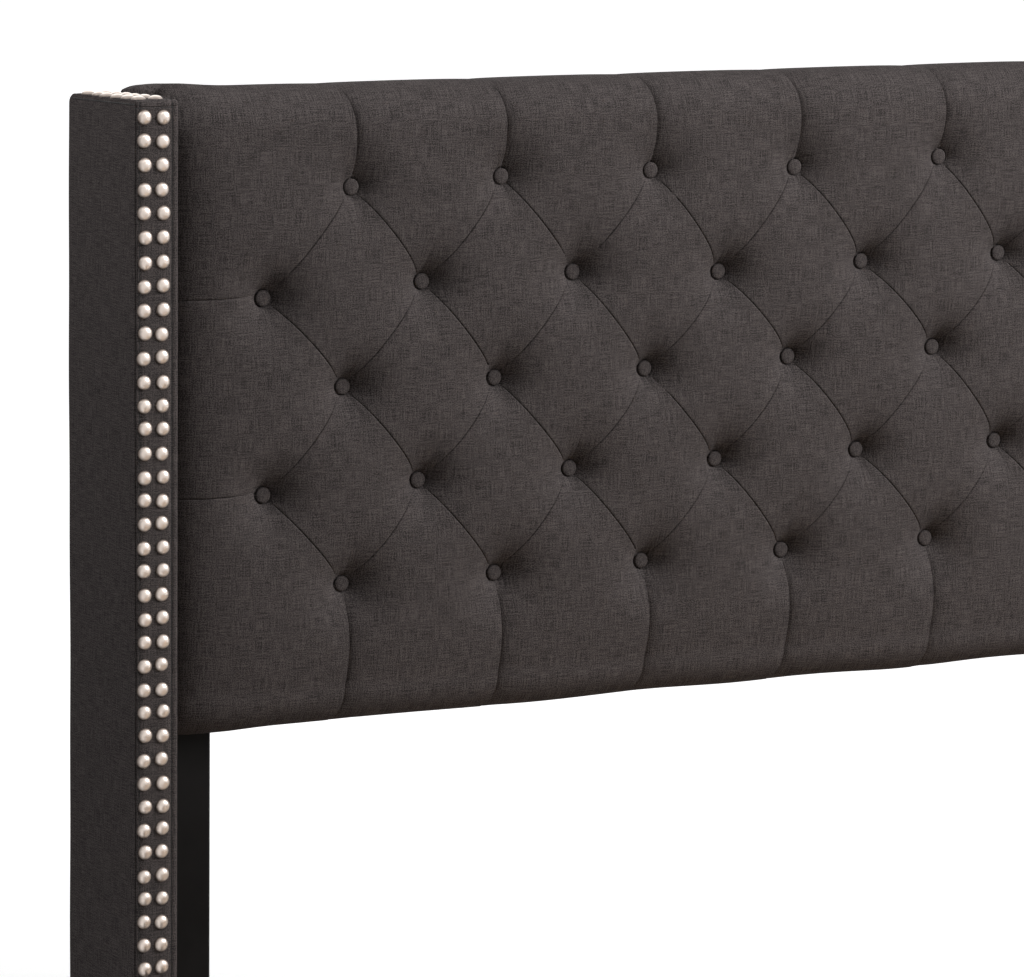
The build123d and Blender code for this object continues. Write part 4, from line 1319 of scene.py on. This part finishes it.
def footboard_cover():
    front = foot_low.y
    rings = [
        (0.1141, front - 0.0020), (0.080, front - 0.0019), (0.045, front - 0.0012), (0.022, front - 0.0002),
        (0.012, front + 0.0008), (0.0065, front + 0.0022), (0.0030, front + 0.0042), (0.0008, front + 0.0072),
        (0.0, front + 0.011), (0.0, front + 0.030), (0.0, foot_frame_back - 0.001), (0.0006, foot_frame_back),
    ]
    stops_x = np.linspace(foot_low.x, foot_high.x, 111)[1:-1]
    stops_z = np.linspace(foot_low.z, foot_high.z, 17)[1:-1]
    loops = []
    for inset, y in rings:
        loop = rounded_loop(
            foot_low.x + inset, foot_high.x - inset, foot_low.z + inset, foot_high.z - inset,
            [max(0.008 - inset, 0)] * 4, stops_x, stops_z,
        )
        loops.append([(x, y, z) for x, z in loop])
    for y in (foot_frame_back, foot_core_low.y):
        loop = rounded_loop(
            foot_core_low.x, foot_core_high.x, foot_core_low.z, foot_core_high.z,
            [0.0005] * 4, stops_x, stops_z,
        )
        loops.append([(x, y, z) for x, z in loop])
    bm = join_loops(loops)
    for vertex in bm.verts:
        x, y, z = vertex.co
        if y < front + 0.001:
            middle = 4 * (z - foot_low.z) * (foot_high.z - z) / (foot_high.z - foot_low.z) ** 2
            vertex.co.y -= middle * (0.0008 * math.sin(6.5 * x) + 0.0005 * math.sin(19 * x))
    wrap = rounded_loop(
        foot_low.x + 0.001, foot_high.x - 0.001, foot_high.z - 0.060, foot_high.z,
        [0.0006, 0.006, 0.006, 0.0006],
        stops_x, [foot_high.z - 0.050, foot_high.z - 0.035, foot_high.z - 0.020],
    )
    rows = [(0.0, foot_frame_back), (0.0, foot_high.y - 0.0012), (0.0012, foot_high.y)]
    centre = foot_high.z - 0.030
    strip = []
    for inset, y in rows:
        narrower, lower = 1 - inset / 0.8, 1 - inset / 0.030
        strip.append([(x * narrower, y, centre + (z - centre) * lower) for x, z in wrap])
    inside_strip = join_loops(strip)
    kept = bpy.data.meshes.new("inside_strip")
    inside_strip.to_mesh(kept)
    inside_strip.free()
    bm.from_mesh(kept)
    bpy.data.meshes.remove(kept)
    cover = new_piece("footboard_linen", mesh_from("footboard_linen", bm, 50, cloth=True), cover_linen)
    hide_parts("footboard_cover")
    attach(cover, "bed_frame")
    return cover


print(len(footboard_cover().data.polygons), "faces in the footboard's cover")
seam_x = foot_high.x - 0.022
foot_seam = (foot_low.y + 0.0035, foot_high.z - 0.0060)
rail_low, rail_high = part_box("right_rail_cover")
rail_x, rail_z = rail_high.x + 0.0002, rail_high.z - 0.0120
rail_foot, rail_head = rail_low.y + 0.004, rail_high.y - 0.004
frame_stitches = stitches(
    "footboard_and_rail_stitches",
    [
        [(-seam_x, *foot_seam), (seam_x, *foot_seam)],
        [(rail_x, rail_foot, rail_z), (rail_x, rail_head, rail_z)],
        [(-rail_x, rail_foot, rail_z), (-rail_x, rail_head, rail_z)],
    ],
)
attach(frame_stitches, "bed_frame")

# %% [markdown]
# The headboard's back is closed with a black dust cloth, stretched and stapled all round. It is a thin sheet
# with a slight slack between its edges, and is given its thickness by a solidify step.

# %% Dust cloth
dust_low, dust_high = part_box("headboard_dust_cloth")
dust_columns, dust_rows = 80, 36
dust_places, dust_faces = [], []
for row in range(dust_rows + 1):
    for column in range(dust_columns + 1):
        across, upward = column / dust_columns, row / dust_rows
        slack = 16 * across * (1 - across) * upward * (1 - upward)
        ripple = 0.0006 * math.sin(14 * across + 5 * upward) + 0.0004 * math.sin(37 * across - 11 * upward)
        dust_places.append(
            (
                dust_low.x + (dust_high.x - dust_low.x) * across,
                dust_low.y + 0.0002 + slack * (0.0012 + ripple),
                dust_low.z + (dust_high.z - dust_low.z) * upward,
            )
        )
for row in range(dust_rows):
    for column in range(dust_columns):
        corner = row * (dust_columns + 1) + column
        dust_faces.append((corner + 1, corner, corner + dust_columns + 1, corner + dust_columns + 2))
dust_mesh = bpy.data.meshes.new("dust_cloth")
dust_mesh.from_pydata(dust_places, [], dust_faces)
dust_bm = bmesh.new()
dust_bm.from_mesh(dust_mesh)
bmesh.ops.solidify(dust_bm, geom=dust_bm.faces, thickness=-0.0006)
bmesh.ops.recalc_face_normals(dust_bm, faces=dust_bm.faces)
bpy.data.meshes.remove(dust_mesh)
dust = new_piece("dust_cloth_sheet", mesh_from("dust_cloth_sheet", dust_bm, 60, cloth=True), under_cloth)
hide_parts("headboard_dust_cloth")
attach(dust, "bed_frame")

# %% [markdown]
# Staples run all round the dust cloth's edge, some 35 mm apart. One short flat wire is copied onto marks, and
# the tree slips and turns each copy a little, since a staple gun is held by hand.

# %% Staples
staple_bm = bmesh.new()
bmesh.ops.create_cube(staple_bm, size=1.0, matrix=Matrix.Diagonal((0.011, 0.0011, 0.0006, 1)))
staple_template = template_of("staple", staple_bm)
staple_marks = []
for step in range(46):
    x = dust_low.x + 0.016 + (dust_high.x - dust_low.x - 0.032) * step / 45
    for height in (dust_low.z + 0.006, dust_high.z - 0.006):
        staple_marks.append(((x, dust_low.y + 0.0011, height), (0, 1, 0), (0, 0, 1)))
for step in range(1, 19):
    height = dust_low.z + (dust_high.z - dust_low.z) * step / 19
    for x in (dust_low.x + 0.006, dust_high.x - 0.006):
        staple_marks.append(((x, dust_low.y + 0.0011, height), (0, 1, 0), (1, 0, 0)))
staples = pieces_at("dust_cloth_staples", staple_marks, staple_template, zinc, slip=0.0012, turn=0.25, seed=5)
bpy.data.objects.remove(staple_template)
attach(staples, "bed_frame")

# %% [markdown]
# Two straps under the slats hold them apart. A flat strap is modelled directly: a thin band that lies
# against each slat and dips slightly between them.

# %% Webbing under the slats
web_low, web_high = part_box("slat_webbing")
web_width = 0.025
web_thickness = 0.0011
slat_pitch = (web_high.y - web_low.y - 0.070) / 12
steps = 240
for side, name in ((-1, "left_slat_strap"), (1, "right_slat_strap")):
    centre = side * (web_high.x - web_width / 2)
    loops = []
    for step in range(steps + 1):
        y = web_low.y + (web_high.y - web_low.y) * step / steps
        phase = (y - web_low.y - 0.035) / slat_pitch
        dip = 0.0016 * max(0, math.sin(math.pi * (phase % 1))) ** 2
        top = web_high.z - 0.0001 - dip
        low = top - web_thickness
        near, far = centre - web_width / 2, centre + web_width / 2
        loops.append([(near, y, top), (near, y, low), (far, y, low), (far, y, top)])
    strap = new_piece(name, mesh_from(name, join_loops(loops), 40, cloth=True), strap_weave)
    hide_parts("slat_webbing")
    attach(strap, "bed_frame")

# %% [markdown]
# Small screws hold the brackets. The CAD solids only mark where their heads are, so a better head is made
# once, a low dome with a cross recess, and copied onto the same places.


# %% Screw heads
def screw_head():
    bm = dome(0.0045, 0.0021, 20, 5)
    crown_from, recess_floor, arm_degrees = 0.0012, 0.0008, 14
    crown_faces = [face for face in bm.faces if face.calc_center_median().z > crown_from]
    for face in crown_faces:
        centre = face.calc_center_median()
        turn = math.degrees(math.atan2(centre.y, centre.x)) % 90
        if min(turn, 90 - turn) < arm_degrees:
            for vertex in face.verts:
                if vertex.co.z > crown_from:
                    vertex.co.z = recess_floor
    return bm


screw_template = template_of("screw", screw_head())


def solid_boxes(node):
    """Lowest and highest corner of each separate solid of a CAD node, from a merged copy of its mesh."""
    bm = bmesh.new()
    bm.from_mesh(nodes[node].data)
    bmesh.ops.remove_doubles(bm, verts=bm.verts, dist=0.00001)
    left, boxes = set(bm.verts), []
    while left:
        group, front = set(), [left.pop()]
        while front:
            vertex = front.pop()
            group.add(vertex)
            for edge in vertex.link_edges:
                other = edge.other_vert(vertex)
                if other in left:
                    left.discard(other)
                    front.append(other)
        low = [min(vertex.co[axis] for vertex in group) for axis in range(3)]
        high = [max(vertex.co[axis] for vertex in group) for axis in range(3)]
        boxes.append((Vector(low), Vector(high)))
    bm.free()
    return boxes


wing_screw_marks = [
    (((low.x + high.x) / 2, low.y, (low.z + high.z) / 2), (0, 1, 0), (0, 0, 1))
    for low, high in solid_boxes("wing_bracket_screws")
]
rail_screw_marks = []
for low, high in solid_boxes("rail_bracket_screws"):
    side = 1 if low.x > 0 else -1
    base = high.x if side > 0 else low.x
    rail_screw_marks.append(((base, (low.y + high.y) / 2, (low.z + high.z) / 2), (-side, 0, 0), (0, 0, 1)))
for name, marks, node in (
    ("wing_screw_heads", wing_screw_marks, "wing_bracket_screws"),
    ("rail_screw_heads", rail_screw_marks, "rail_bracket_screws"),
):
    screws = pieces_at(name, marks, screw_template, zinc, turn=3.1, seed=9)
    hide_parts(node)
    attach(screws, "bed_frame")
    print(len(marks), "heads in", name)
bpy.data.objects.remove(screw_template)

# %% [markdown]
# The bed stands on a plain pale floor. Rays from the camera see it brightened by a soft glow, so lit floor
# is white like the backdrop while the bed's own shadow stays on it.

# %% Floor
floor_reach = 60
floor_mesh = bpy.data.meshes.new("floor")
floor_corners = [(x * floor_reach, y * floor_reach, 0) for x, y in ((-1, -1), (1, -1), (1, 1), (-1, 1))]
floor_mesh.from_pydata(floor_corners, [], [(0, 1, 2, 3)])
floor_finish = Finish("pale_floor", Roughness=0.9)
floor_finish.colour((0.6, 0.6, 0.6, 1))
away = floor_finish.length(floor_finish.place())
glow = (0.55 + 0.4 * floor_finish.clamped(away, 2.0, 7.0)) * floor_finish.seen()
glow_colour = floor_finish.blend(glow, (0, 0, 0, 1), (1, 1, 1, 1))
floor_finish.feed(floor_finish.shader.inputs["Emission Color"], glow_colour)
floor_finish.feed(floor_finish.shader.inputs["Emission Strength"], 1.0)
floor = new_piece("floor", floor_mesh, floor_finish.material)
